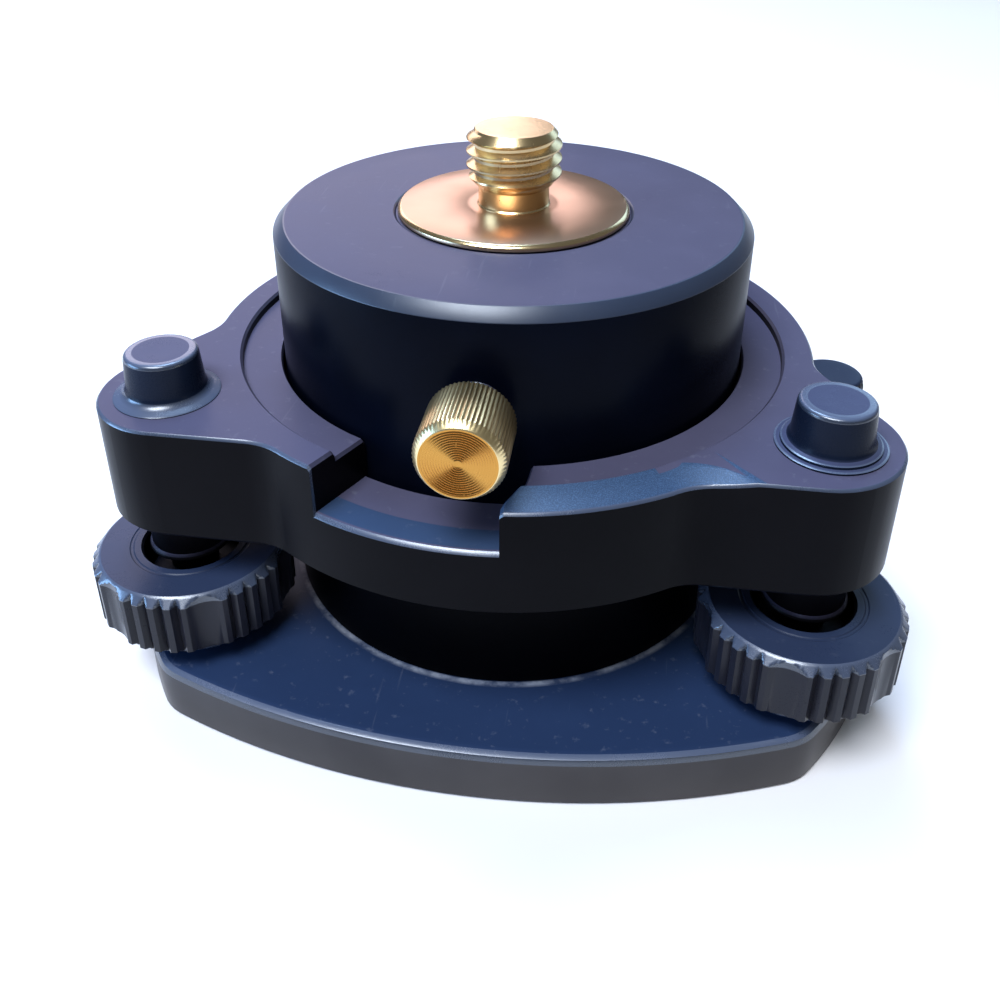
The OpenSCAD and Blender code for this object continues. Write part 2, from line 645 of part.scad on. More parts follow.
base_plate();
hub_skirt();
skirt_screws();
tripod_bush();
bush_screws();
spring_plate();
spring_plate_screws();
ball_seat(0);  // ball_seat_left
ball_seat(1);  // ball_seat_right
ball_seat(2);  // ball_seat_rear
ball_retainer(0);  // ball_retainer_left
ball_retainer(1);  // ball_retainer_right
ball_retainer(2);  // ball_retainer_rear
spindle(0);  // spindle_left
spindle(1);  // spindle_right
spindle(2);  // spindle_rear
knob(0);  // knob_left
knob(1);  // knob_right
knob(2);  // knob_rear
knob_nut(0);  // knob_nut_left
knob_nut(1);  // knob_nut_right
knob_nut(2);  // knob_nut_rear
tribrach_body();
thread_bush(0);  // thread_bush_left
thread_bush(1);  // thread_bush_right
thread_bush(2);  // thread_bush_rear
dust_sleeve(0);  // dust_sleeve_left
dust_sleeve(1);  // dust_sleeve_right
dust_sleeve(2);  // dust_sleeve_rear
dust_cap(0);  // dust_cap_left
dust_cap(1);  // dust_cap_right
dust_cap(2);  // dust_cap_rear
seat_pads();
lock_housing();
housing_screws();
lock_retainer();
retainer_screws();
wave_spring();
level_housing();
level_vial();
level_screws();
lock_plate();
lock_lever();
lever_screw();
adapter_drum();
top_bush();
bottom_bush();
thrust_washer();
locking_stud(0);  // locking_stud_left
locking_stud(1);  // locking_stud_right
locking_stud(2);  // locking_stud_rear
brass_spindle();
spindle_washer();
spindle_nut();
clamp_pad();
clamp_shank();
clamp_knob();
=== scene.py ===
from math import acos, atan, cos, degrees, hypot, pi, radians, sin, sqrt

import bpy
import bmesh
from mathutils import Matrix, Vector


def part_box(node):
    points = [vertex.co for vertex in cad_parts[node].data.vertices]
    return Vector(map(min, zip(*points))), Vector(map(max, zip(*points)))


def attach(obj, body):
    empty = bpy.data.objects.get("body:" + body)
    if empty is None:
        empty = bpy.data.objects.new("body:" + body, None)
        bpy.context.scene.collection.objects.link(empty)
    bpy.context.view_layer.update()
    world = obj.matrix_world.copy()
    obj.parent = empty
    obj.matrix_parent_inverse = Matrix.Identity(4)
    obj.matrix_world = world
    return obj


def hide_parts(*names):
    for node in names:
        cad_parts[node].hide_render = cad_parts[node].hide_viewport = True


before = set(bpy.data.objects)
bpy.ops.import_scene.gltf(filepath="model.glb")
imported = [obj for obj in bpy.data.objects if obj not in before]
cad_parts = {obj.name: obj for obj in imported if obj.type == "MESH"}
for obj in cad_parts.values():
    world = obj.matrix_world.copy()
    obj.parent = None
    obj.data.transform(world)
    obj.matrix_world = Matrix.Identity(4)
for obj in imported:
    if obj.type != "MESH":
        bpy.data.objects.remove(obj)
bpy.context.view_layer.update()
mm = 0.001


# sizes and places are in mm, and most are taken from the CAD nodes

def span(node, axis):
    # lowest and highest place along x, y or z
    return [round(corner["xyz".index(axis)] / mm, 2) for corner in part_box(node)]


def low(node, axis):
    return span(node, axis)[0]


def high(node, axis):
    return span(node, axis)[1]


def middle(node, axis):
    return round(sum(span(node, axis)) / 2, 2)


feet = {"left": -150, "right": -30, "rear": 90}    # the foot screws' angles round the axis
thirds = (-90, 30, 150)                            # angles of screws that stand between the feet
footCircle = middle("dust_sleeve_rear", "y")
clampAxis = middle("clamp_knob", "z")
# edged marks bands that take a lighter edge finish: a painted highlight
black, edged = 0, 1                                # finish slots that most pieces share


class Value:
    # a socket that can be used in sums
    def __init__(self, finish, socket):
        self.finish = finish
        self.socket = socket

    def math(self, operation, first, second):
        return self.finish.node("ShaderNodeMath", {"operation": operation}, {0: first, 1: second})

    def __add__(self, other):
        return self.math("ADD", self, other)

    def __sub__(self, other):
        return self.math("SUBTRACT", self, other)

    def __mul__(self, other):
        return self.math("MULTIPLY", self, other)

    def __truediv__(self, other):
        return self.math("DIVIDE", self, other)

    def __radd__(self, other):
        return self.math("ADD", other, self)

    def __rsub__(self, other):
        return self.math("SUBTRACT", other, self)

    def __rmul__(self, other):
        return self.math("MULTIPLY", other, self)

    def __rtruediv__(self, other):
        return self.math("DIVIDE", other, self)


class Finish:
    # one material and the nodes it is made of
    def __init__(self, name):
        self.material = bpy.data.materials.new(name)
        self.material.use_nodes = True
        self.tree = self.material.node_tree
        self.tree.nodes.clear()
        self.place = self.node("ShaderNodeTexCoord", out="Object")

    def node(self, kind, settings=None, values=None, out=0):
        made = self.tree.nodes.new(kind)
        for key, value in (settings or {}).items():
            if key == "stops":
                self.setStops(made.color_ramp, value)
            else:
                setattr(made, key, value)
        for key, value in (values or {}).items():
            if isinstance(value, Value):
                self.tree.links.new(value.socket, made.inputs[key])
            else:
                made.inputs[key].default_value = value
        return None if out is None else Value(self, made.outputs[out])

    def setStops(self, ramp, stops):
        while len(ramp.elements) < len(stops):
            ramp.elements.new(0.5)
        for element, (position, shade) in zip(ramp.elements, stops):
            element.position = position
            element.color = (shade, shade, shade, 1)

    def noise(self, scale, detail=2.0, rough=0.5, place=None):
        values = {"Vector": place or self.place, "Scale": scale, "Detail": detail, "Roughness": rough}
        return self.node("ShaderNodeTexNoise", None, values)

    def ramp(self, value, *stops):
        return self.node("ShaderNodeValToRGB", {"stops": stops}, {"Fac": value})

    def patches(self, scale, detail, rough, start, end):
        # noise that is cut to patches between two levels
        return self.ramp(self.noise(scale, detail, rough), (start, 0.0), (end, 1.0))

    def streaks(self, stretch, turn, start, end):
        # long thin marks: noise squeezed across them
        values = {"Vector": self.place, "Scale": stretch, "Rotation": turn}
        place = self.node("ShaderNodeMapping", None, values)
        return self.ramp(self.noise(1.0, 2, 0.5, place), (start, 0.0), (end, 1.0))

    def mix(self, factor, first, second):
        first, second = [c + (1,) if isinstance(c, tuple) else c for c in (first, second)]
        return self.node("ShaderNodeMix", {"data_type": "RGBA"}, {0: factor, 6: first, 7: second}, out=2)

    def parts(self, vector):
        # the x, y and z of a vector
        split = self.node("ShaderNodeSeparateXYZ", None, {0: vector})
        return [Value(self, output) for output in split.socket.node.outputs]

    def fromAxis(self):
        # distance from the vertical axis
        x, y, z = self.parts(self.place)
        flat = self.node("ShaderNodeCombineXYZ", None, {0: x, 1: y})
        return self.node("ShaderNodeVectorMath", {"operation": "LENGTH"}, {0: flat}, out="Value")

    def surface(self, constants, links, bump=None, height=0.0, strength=0.0):
        values = {**constants, **links}
        if bump is not None:
            values["Normal"] = self.node("ShaderNodeBump", None,
                                         {"Height": bump, "Distance": height, "Strength": strength})
        shader = self.node("ShaderNodeBsdfPrincipled", None, values)
        self.node("ShaderNodeOutputMaterial", None, {"Surface": shader}, out=None)
        return self.material


# the tint mixed into faces that look up is a painted sheen, standing in for the reflected light of the lamps
# and room; rubbed is the radius of a worn ring in mm
anodisedLooks = {
    "blackAnodised": {"dark": (0.0014, 0.0012, 0.0019), "light": (0.0028, 0.0024, 0.0034),
                      "paintedSheen": (0.092, 0.087, 0.142), "rough": 0.31, "specular": 0.045},
    # a lighter, bluer copy of the black anodising for edge bands: painted highlight
    "blackEdge": {"dark": (0.016, 0.022, 0.036), "light": (0.028, 0.038, 0.060),
                  "paintedSheen": (0.095, 0.120, 0.190), "rough": 0.26, "specular": 1.0, "dust": 0.3},
    "capBlack": {"dark": (0.004, 0.007, 0.016), "light": (0.008, 0.013, 0.028),
                 "paintedSheen": (0.062, 0.072, 0.135), "rough": 0.28, "specular": 0.09, "dust": 0.3},
    "drumBlack": {"dark": (0.0008, 0.0014, 0.0040), "light": (0.0016, 0.0028, 0.0080),
                  "paintedSheen": (0.098, 0.093, 0.144), "rough": 0.30, "specular": 0.035, "dust": 0.5},
    # a lighter, bluer copy of the drum's anodising for its chamfers: painted highlight
    "paintedDrumEdgeHighlight": {"dark": (0.012, 0.018, 0.034), "light": (0.018, 0.027, 0.050),
                 "paintedSheen": (0.034, 0.050, 0.090), "rough": 0.34, "specular": 0.7, "dust": 0.2},
    "baseBlack": {"dark": (0.003, 0.005, 0.010), "light": (0.006, 0.010, 0.020),
                  "paintedSheen": (0.021, 0.040, 0.098), "rough": 0.34, "specular": 0.2, "dust": 1.3, "rubbed": 41.2},
    # a copy of the anodising with a bluer tint for the notch floor: painted sheen
    "notchBlack": {"dark": (0.004, 0.006, 0.010), "light": (0.008, 0.012, 0.018),
                   "paintedSheen": (0.040, 0.068, 0.135), "rough": 0.32, "specular": 0.12},
    "baseEdgeBlack": {"dark": (0.030, 0.026, 0.027), "light": (0.052, 0.046, 0.046),
                      "paintedSheen": (0.06, 0.07, 0.10), "rough": 0.34, "specular": 0.3, "dust": 0.5},
    # a darker copy of the anodising for the hub and the rings under the knobs: painted shade
    "hubPaintedShade": {"dark": (0.0004, 0.0004, 0.0008), "light": (0.0008, 0.0008, 0.0015),
                 "paintedSheen": (0.004, 0.005, 0.009), "rough": 0.40, "specular": 0.03, "dust": 0.3},
    "knobBlack": {"dark": (0.008, 0.008, 0.012), "light": (0.014, 0.014, 0.021),
                  "paintedSheen": (0.030, 0.044, 0.090), "rough": 0.29, "specular": 0.22, "dust": 0.5},
    # a darker copy of the anodising for the inside of the knob wells: painted shade
    "wellPaintedShade": {"dark": (0.001, 0.001, 0.002), "light": (0.002, 0.002, 0.004),
                  "paintedSheen": (0.003, 0.004, 0.008), "rough": 0.36, "specular": 0.05, "dust": 0.1},
    "leverBlack": {"dark": (0.003, 0.003, 0.006), "light": (0.006, 0.007, 0.012),
                   "paintedSheen": (0.020, 0.030, 0.060), "rough": 0.42, "specular": 0.15, "dust": 0.3},
}
anodisedWear = {"grain": 5200, "grainDepth": 0.000012, "dust": 0.12, "scuff": 0.05, "rubbed": 0.7,
                "markTone": (0.42, 0.44, 0.5)}


def anodised(name, dark, light, paintedSheen, rough, specular, dust=1.0, rubbed=None):
    f = Finish(name)
    wear = anodisedWear
    cloud = f.noise(38, 3, 0.55)
    grain = f.noise(wear["grain"], 2, 0.6)
    smudge = f.patches(120, 5, 0.62, 0.45, 0.8)
    specks = f.patches(620, 3, 0.6, 0.62, 0.80)
    scuffs = f.streaks((900, 60, 400), (0.2, 0.1, 0.7), 0.71, 0.76)
    normal = f.node("ShaderNodeNewGeometry", out="Normal")
    up = f.ramp(f.parts(normal)[2], (0.45, 0.0), (0.97, 1.0))
    colour = f.mix(f.ramp(cloud, (0.35, 0.0), (0.7, 1.0)), dark, light)
    # painted sheen: faces that look up are mixed towards the pale blue-purple tint, with small random
    # variation, standing in for reflected light
    colour = f.mix(up * (0.85 + cloud * 0.1 + smudge * 0.08), colour, paintedSheen)
    marks = up * (specks * (wear["dust"] * dust) + scuffs * wear["scuff"])
    if rubbed is not None:
        near = (f.fromAxis() - rubbed * mm) * 600.0 + 0.5
        ring = f.ramp(near, (0.0, 0.0), (0.35, 1.0), (0.6, 1.0), (1.0, 0.0))
        squeeze = f.node("ShaderNodeMapping", None, {"Vector": f.place, "Scale": (260, 260, 1)})
        broken = f.ramp(f.noise(1.0, 4, 0.6, squeeze), (0.4, 0.1), (0.62, 1.0))
        marks = marks + ring * broken * up * wear["rubbed"]
    return f.surface({"Specular IOR Level": specular},
                     {"Base Color": f.mix(marks, colour, wear["markTone"]),
                      "Roughness": rough - 0.08 + cloud * 0.08 + grain * 0.06 + smudge * 0.06},
                     grain + scuffs * 0.4, wear["grainDepth"], 0.6)


finish = {name: anodised(name, **look) for name, look in anodisedLooks.items()}


# the rim bevel's blue colour is a painted reflection of the lamps above; its grain is bead-blasting
blastedRim = {"dark": (0.016, 0.034, 0.074), "light": (0.070, 0.135, 0.260), "rough": 0.26,
              "grain": 4200, "fineGrain": 6500, "depth": 0.00004}


def blastedWithPaintedReflection(name):
    # fine bead-blasted grain in the bumps; the blue colour is a painted reflection of the lamps
    look = blastedRim
    f = Finish(name)
    grain = f.noise(look["grain"], 3, 0.75)
    fine = f.patches(look["fineGrain"], 1, 0.5, 0.45, 0.7)
    return f.surface({}, {"Base Color": f.mix(fine * 0.6 + grain * 0.4, look["dark"], look["light"]),
                          "Roughness": look["rough"] + grain * 0.16}, grain, look["depth"], 0.7)


# turned is the spacing of the fine rings that a lathe leaves, in mm
metalLooks = {
    "spindleBlack": {"colour": (0.014, 0.014, 0.018), "dull": (0.008, 0.008, 0.010), "rough": 0.34},
    "polishedBrass": {"colour": (0.78, 0.58, 0.30), "dull": (0.58, 0.39, 0.19), "rough": 0.26,
                      "turned": 0.12},
    "flangeBrass": {"colour": (0.60, 0.38, 0.24), "dull": (0.54, 0.32, 0.20), "rough": 0.33,
                    "turned": 0.10, "depth": 0.000003, "tarnish": 0.2},
    # a brighter, yellower copy of the flange brass for its rim: painted highlight
    "paintedFlangeHighlight": {"colour": (0.80, 0.62, 0.34), "dull": (0.62, 0.44, 0.22), "rough": 0.2},
    "knurledBrass": {"colour": (0.72, 0.53, 0.27), "dull": (0.54, 0.37, 0.16), "rough": 0.34,
                     "tarnish": 0.25},
    "faceBrass": {"colour": (0.56, 0.27, 0.055), "dull": (0.48, 0.22, 0.045), "rough": 0.24,
                  "depth": 0.000004, "tarnish": 0.2},
    # a brighter copy of the knob brass for its chamfer: painted highlight
    "paintedBevelHighlight": {"colour": (0.84, 0.66, 0.34), "dull": (0.70, 0.50, 0.22), "rough": 0.30, "tarnish": 0.2},
    "bushBrass": {"colour": (0.62, 0.44, 0.20), "dull": (0.36, 0.24, 0.10), "rough": 0.32},
    "screwSteel": {"colour": (0.52, 0.53, 0.55), "dull": (0.34, 0.34, 0.36), "rough": 0.28},
    "springSteel": {"colour": (0.36, 0.37, 0.40), "dull": (0.24, 0.24, 0.26), "rough": 0.34},
}


def metal(name, colour, dull, rough, turned=None, depth=0.000006, tarnish=0.35):
    f = Finish(name)
    cloud = f.noise(160, 3, 0.55)
    height = f.noise(2600, 2, 0.5) * 0.35
    if turned:
        line = f.node("ShaderNodeTexNoise", {"noise_dimensions": "1D"},
                      {"W": f.fromAxis() / (turned * mm), "Scale": 1.0, "Detail": 2.0})
        height = height + line * 1.3
    scratch = f.streaks((1500, 130, 700), (0.5, 0.3, 1.1), 0.7, 0.76)
    return f.surface({"Metallic": 1.0},
                     {"Base Color": f.mix(f.ramp(cloud, (0.35, 0.0), (0.75, 1.0)) * tarnish, colour, dull),
                      "Roughness": rough - 0.06 + cloud * 0.12 + scratch * 0.12},
                     height + scratch * 0.5, depth, 0.7)


whiteAcetal = {"colour": (0.82, 0.80, 0.74), "cloud": (0.6, 0.58, 0.52), "rough": 0.4}


def plastic(name):
    look = whiteAcetal
    f = Finish(name)
    cloud = f.noise(300, 3, 0.5)
    return f.surface({}, {"Base Color": f.mix(cloud * 0.3, look["colour"], look["cloud"]),
                          "Roughness": look["rough"] + cloud * 0.1}, cloud, 0.00001, 0.3)


levelLiquid = {"colour": (0.62, 0.78, 0.30), "deep": (0.5, 0.68, 0.22), "rough": 0.06, "coat": 0.9}


def vial(name):
    look = levelLiquid
    f = Finish(name)
    cloud = f.noise(500, 2, 0.5)
    return f.surface({"Coat Roughness": 0.03, "IOR": 1.45},
                     {"Base Color": f.mix(cloud * 0.2, look["colour"], look["deep"]),
                      "Roughness": look["rough"] + cloud * 0.03,
                      "Coat Weight": look["coat"] + cloud * 0.1}, cloud, 0.000002, 0.2)


finish["blastedRim"] = blastedWithPaintedReflection("blastedRim")
for name, look in metalLooks.items():
    finish[name] = metal(name, **look)
finish["whiteAcetal"] = plastic("whiteAcetal")
finish["vialGlass"] = vial("vialGlass")
# the second body finish is the lighter edge finish, a painted highlight
bodyFinishes = ["blackAnodised", "blackEdge"]
print("finishes made")


weld, speck = 2e-7, 1e-7                           # in metres: points closer than this are joined


def build(name, points, faces, finishes, slots=None, sharp=32):
    mesh = bpy.data.meshes.new(name)
    mesh.from_pydata([tuple(c * mm for c in p) for p in points], [], faces)
    if slots:
        mesh.polygons.foreach_set("material_index", slots)
    work = bmesh.new()
    work.from_mesh(mesh)
    bmesh.ops.remove_doubles(work, verts=work.verts, dist=weld)
    bmesh.ops.dissolve_degenerate(work, edges=work.edges, dist=speck)
    bmesh.ops.recalc_face_normals(work, faces=work.faces)
    for face in work.faces:
        face.smooth = True
    work.to_mesh(mesh)
    work.free()
    for finishName in finishes:
        mesh.materials.append(finish[finishName])
    mesh.set_sharp_from_angle(angle=radians(sharp))
    piece = bpy.data.objects.new(name, mesh)
    bpy.context.scene.collection.objects.link(piece)
    return piece


def loft(name, rings, finishes, slots=None, closed=False, wrap=True, sharp=32):
    # skins rings of equally many points; closed joins the last ring to the first
    count = len(rings[0])
    points = [p for ring in rings for p in ring]
    faces, used = [], []
    for i in range(len(rings) if closed else len(rings) - 1):
        below, above = i * count, ((i + 1) % len(rings)) * count
        for j in range(count if wrap else count - 1):
            k = (j + 1) % count
            faces.append((below + j, below + k, above + k, above + j))
            used.append(slots[i] if slots else 0)
    return build(name, points, faces, finishes, used, sharp)


def lathe(name, profile, finishes, centre=(0, 0), steps=128, closed=False, bend=None, place=None, sharp=32):
    # profile: (radius, height) or (radius, height, finish slot of the band above it)
    rings, slots = [], []
    for r, z, *slot in profile:
        slots.append(slot[0] if slot else black)
        ring = []
        for j in range(steps):
            a = 2 * pi * j / steps
            radius = bend(r, degrees(a)) if bend else r
            point = Vector((radius * cos(a), radius * sin(a), z))
            if place:
                point = place @ point
            ring.append((point.x + centre[0], point.y + centre[1], point.z))
        rings.append(ring)
    return loft(name, rings, finishes, slots, closed=closed, sharp=sharp)


def carve(piece, *cutters):
    for cutter in cutters:
        step = piece.modifiers.new("cut", "BOOLEAN")
        step.object, step.operation, step.solver = cutter, "DIFFERENCE", "EXACT"
    mesh = bpy.data.meshes.new_from_object(piece.evaluated_get(bpy.context.evaluated_depsgraph_get()))
    piece.modifiers.clear()
    piece.data = mesh
    mesh.set_sharp_from_angle(angle=radians(32))
    for cutter in cutters:
        bpy.data.objects.remove(cutter)


def rod(r, z0, z1, centre=(0, 0), steps=96, place=None):
    return lathe("cutter", [(0, z0), (r, z0), (r, z1), (0, z1)], [], centre, steps, place=place)


def settle(piece, body, slot, *nodes):
    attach(piece, body)
    if nodes:
        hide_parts(*nodes)


def polar(r, a):
    return (r * cos(radians(a)), r * sin(radians(a)))


def swing(outline, a):
    # an outline drawn along x, turned to an angle
    c, s = cos(radians(a)), sin(radians(a))
    return [(x * c - y * s, x * s + y * c) for x, y in outline]


def rounded(r0, z0, r1, z1, count, slot=0):
    # quarter turn from (r0, z0) to (r1, z1), leaving upright
    turns = [k * pi / 2 / count for k in range(count + 1)]
    return [(r1 + (r0 - r1) * cos(t), z0 + (z1 - z0) * sin(t), slot) for t in turns]


def hoop(r, z, steps=120):
    # an open ring whose last point repeats the first
    return [(r * cos(2 * pi * j / steps), r * sin(2 * pi * j / steps), z) for j in range(steps + 1)]


basePlate = {"cornerRadius": 70.0, "sideRadius": 140.0, "blend": 1.2, "topBevel": 1.3, "bottomBevel": 0.5,
             "bushHole": 12.05, "springDisc": 26.6, "springArm": 7.6, "ballHole": 6.9, "ballFloor": 3.0}
baseSide = -low("base_plate", "y")                 # from the axis to the middle of a side


def baseEdge(a):
    b = basePlate
    d = abs((a + 90 + 60) % 120 - 60)
    out = baseSide - b["sideRadius"]
    side = out * cos(radians(d)) + sqrt(b["sideRadius"] ** 2 - (out * sin(radians(d))) ** 2)
    h = max(b["blend"] - abs(side - b["cornerRadius"]), 0) / b["blend"]
    return min(side, b["cornerRadius"]) - h * h * b["blend"] / 4


def makeBasePlate():
    b = basePlate
    top, bevel, bottom = high("base_plate", "z"), b["topBevel"], b["bottomBevel"]
    levels = [(bottom, 0.0), (0, bottom), (0, top - bevel), (bevel * 0.35, top - bevel * 0.35),
              (bevel, top), (2.2, top)]
    rings = [[(*polar(baseEdge(a) - inset, a), z) for a in range(360)] for inset, z in levels]
    rings = [[(0, 0, 0.0)] * 360] + rings + [[(0, 0, top)] * 360]
    # the top bevel takes the lighter edge finish, a painted highlight
    topFace, side, rim = 0, 1, 2
    slots = [side, side, side, rim, rim, topFace, topFace]
    plate = loft("basePlate", rings, ["baseBlack", "baseEdgeBlack", "blackEdge"], slots)
    springTop, under, over = high("spring_plate", "z"), -1, top + 2
    cutters = [rod(b["bushHole"], under, over), rod(b["springDisc"], under, springTop)]
    wide = b["springArm"]
    tip = [(footCircle + wide * cos(radians(k)), wide * sin(radians(k))) for k in range(-80, 90, 10)]
    arm = [(-8, -wide), (footCircle, -wide)] + tip + [(footCircle, wide), (-8, wide)]
    for a in feet.values():
        centre, outline = polar(25, a), swing(arm, a)
        rings = []
        for z in (under, springTop):
            ends = [(*centre, z)] * len(outline)
            edge = [(x, y, z) for x, y in outline]
            rings += [ends, edge] if z == under else [edge, ends]
        cutters.append(loft("cutter", rings, []))
        cutters.append(rod(b["ballHole"], b["ballFloor"], top + 4, polar(footCircle, a)))
    carve(plate, *cutters)
    settle(plate, "base", "base_black", "base_plate")


hubSkirt = {"wall": 2.5, "edge": 0.4, "lip": 0.3, "flangeHole": 32.0, "flangeHigh": 2.2}


def makeSkirt():
    s = hubSkirt
    outer, (foot, top) = high("hub_skirt", "x"), span("hub_skirt", "z")
    inner, edge, lip = outer - s["wall"], s["edge"], s["lip"]
    profile = [(inner, foot), (outer - edge, foot, edged), (outer, foot + edge), (outer, top - edge, edged),
               (outer - lip, top), (inner + lip, top), (inner, top - lip)]
    # the skirt and its flange take the darker hub finish: painted shade under the body
    skirt = lathe("hubSkirt", profile, ["hubPaintedShade", "blackEdge"], steps=192, closed=True)
    settle(skirt, "base", "hub_black")
    out, hole, flangeTop = inner + 0.2, s["flangeHole"], foot + s["flangeHigh"]
    profile = [(out, foot), (out, flangeTop), (hole + lip, flangeTop), (hole, flangeTop - lip), (hole, foot)]
    flange = lathe("skirtFlange", profile, ["hubPaintedShade"], closed=True)
    settle(flange, "base", "hub_black", "hub_skirt")


ballRing = {"hole": 3.4, "sunk": 1.4, "edge": 0.5, "grooveFrom": 7.0, "grooveTo": 8.0, "groove": 0.2}


def makeBallRing(foot):
    b = ballRing
    node = "ball_retainer_" + foot
    outer, top, hole = high("ball_retainer_rear", "x"), high(node, "z"), b["hole"]
    inside, outside, deep = b["grooveFrom"], b["grooveTo"], b["groove"]
    profile = [(hole, top - b["sunk"]), (outer, top - b["sunk"]), (outer, top - b["edge"], edged),
               (outer - 0.4, top), (outside, top), (outside - deep, top - deep),
               (inside + deep, top - deep), (inside, top), (hole + 0.8, top), (hole, top - 0.6)]
    # the retainer takes the darker hub finish: painted shade under the knob
    ring = lathe("ballRetainer_" + foot, profile, ["hubPaintedShade", "blackEdge"],
                 polar(footCircle, feet[foot]), 96, closed=True)
    settle(ring, "base", "ring_black", node)


makeBasePlate()
makeSkirt()
for foot in feet:
    makeBallRing(foot)
print("base made")


# six groups of four grip cuts with a shallow scallop between the groups
knobShape = {"chamfer": 1.4, "well": 8.2, "web": 4.5, "hole": 4.1, "scallopDepth": 1.0, "scallopHalf": 3.2,
             "cutDepth": 1.0, "cutHalf": 0.85, "cutPitch": 9.5, "sector": 60, "cuts": (-1.5, -0.5, 0.5, 1.5),
             "grooveFrom": 9.7, "grooveTo": 10.5, "groove": 0.12,
             "scallopAt": {"left": -62, "right": -103, "rear": 20}}
knobRadius = high("knob_rear", "x")


def gripRadius(a):
    k = knobShape
    depth, half, sector = k["scallopDepth"], k["scallopHalf"], k["sector"]
    fromScallop = (a + sector / 2) % sector - sector / 2
    ball = (half ** 2 + depth ** 2) / (2 * depth)
    centre = knobRadius - depth + ball
    reach = centre * sin(radians(abs(fromScallop)))
    r = knobRadius
    if reach < ball:
        r = min(r, centre * cos(radians(fromScallop)) - sqrt(ball ** 2 - reach ** 2))
    for j in k["cuts"]:
        away = (fromScallop % sector) - sector / 2 - j * k["cutPitch"]
        across = knobRadius * sin(radians(abs(away)))
        if across < k["cutHalf"]:
            r = min(r, knobRadius - k["cutDepth"] * (1 - across / k["cutHalf"]))
    return r


def gripAngles():
    # whole degrees over the scallops and closer angles at each cut
    k = knobShape
    marks = set()
    for start in range(0, 360, k["sector"]):
        for off in range(-12, 13):
            marks.add(round(start + off, 3))
        for j in k["cuts"]:
            centre = start + k["sector"] / 2 + j * k["cutPitch"]
            for off in (-3.3, -2.93, -2.4, -1.2, -0.35, 0, 0.35, 1.2, 2.4, 2.93, 3.3):
                marks.add(round(centre + off, 3))
    return sorted(m for m in marks if -12 <= m < 348)


def makeKnob(foot):
    k = knobShape
    node = "knob_" + foot
    x, y = polar(footCircle, feet[foot])
    top, bottom, R, chamfer = high(node, "z"), low(node, "z"), knobRadius, k["chamfer"]
    well, floor, hole, soft = k["well"], low(node, "z") + k["web"], k["hole"], 0.16
    full, inWell = None, 2                     # full: the radius of the grip itself
    levels = [(hole, bottom), (R - 1.6, bottom), (R - 1.2, bottom, edged), (full, bottom + 0.45),
              (full, bottom + 0.8), (full, top - chamfer - soft, edged)]
    levels += [(R - chamfer * t, top - chamfer * (1 - t), edged) for t in (0.0, 0.2, 0.45, 0.72, 0.9)]
    inside, outside, groove = k["grooveFrom"], k["grooveTo"], top - k["groove"]
    # the well's walls and floor take the darker well finish: painted shade
    levels += [(R - chamfer - 0.12, top), (R - 2.6, top), (outside, top), (outside - 0.2, groove),
               (inside + 0.2, groove), (inside, top), (well + 0.4, top, inWell),
               (well, top - 0.4, inWell), (well, floor, inWell), (hole, floor)]
    rings, slots = [], []
    for limit, z, *slot in levels:
        ring = []
        for a in gripAngles():
            r = gripRadius(a)
            if limit is not full:
                r = min(r, limit)
            elif z < bottom + 0.6:
                r = min(r, R - 0.75)
            turned = radians(a + k["scallopAt"][foot])
            ring.append((x + r * cos(turned), y + r * sin(turned), z))
        rings.append(ring)
        slots.append(slot[0] if slot else black)
    finishes = ["knobBlack", "blackEdge", "wellPaintedShade"]
    knob = loft(node, rings, finishes, slots, closed=True, sharp=28)
    settle(knob, "foot_screw_" + foot, "knob_black", node)


stemShape = {"ball": 4.0, "ballAt": 7.6, "neck": 2.9, "collar": 6.0, "shaft": 4.0, "top": 56.5}


def makeStem(foot):
    s = stemShape
    ball, neck, collar, shaft, top = s["ball"], s["neck"], s["collar"], s["shaft"], s["top"]
    neckLow, knobLow = high("ball_retainer_rear", "z"), low("knob_rear", "z")
    profile = [(0, 4.2)]
    profile += [(ball * sin(radians(t)), s["ballAt"] - ball * cos(radians(t))) for t in range(15, 135, 12)]
    profile += [(neck, neckLow), (neck, 12.5), (neck + 0.3, 12.7), (collar - 0.4, 12.7), (collar, 13.1),
                (collar, knobLow - 0.3), (collar - 0.3, knobLow), (shaft, knobLow),
                (shaft, top - 0.6), (shaft - 0.6, top), (0, top)]
    stem = lathe("stem_" + foot, profile, ["spindleBlack"], polar(footCircle, feet[foot]), 64)
    settle(stem, "foot_screw_" + foot, "spindle_steel", "spindle_" + foot)


sleeveShape = {"bore": 5.1, "wall": 1.4}


def makeSleeve(foot):
    s = sleeveShape
    node = "dust_sleeve_" + foot
    outer, (bottom, top) = high("dust_sleeve_rear", "x"), span(node, "z")
    bore = s["bore"]
    profile = [(bore, bottom + 0.2), (bore + 0.2, bottom), (outer - 0.3, bottom), (outer, bottom + 0.2),
               (outer, bottom + 0.4), (outer - 0.15, bottom + 0.75), (outer - 0.5, bottom + 1.1),
               (bore + s["wall"], top), (bore, top)]
    spot = polar(footCircle, feet[foot])
    sleeve = lathe("sleeve_" + foot, profile, ["blackAnodised"], spot, 96, closed=True)
    settle(sleeve, "upper", "body_black", node)


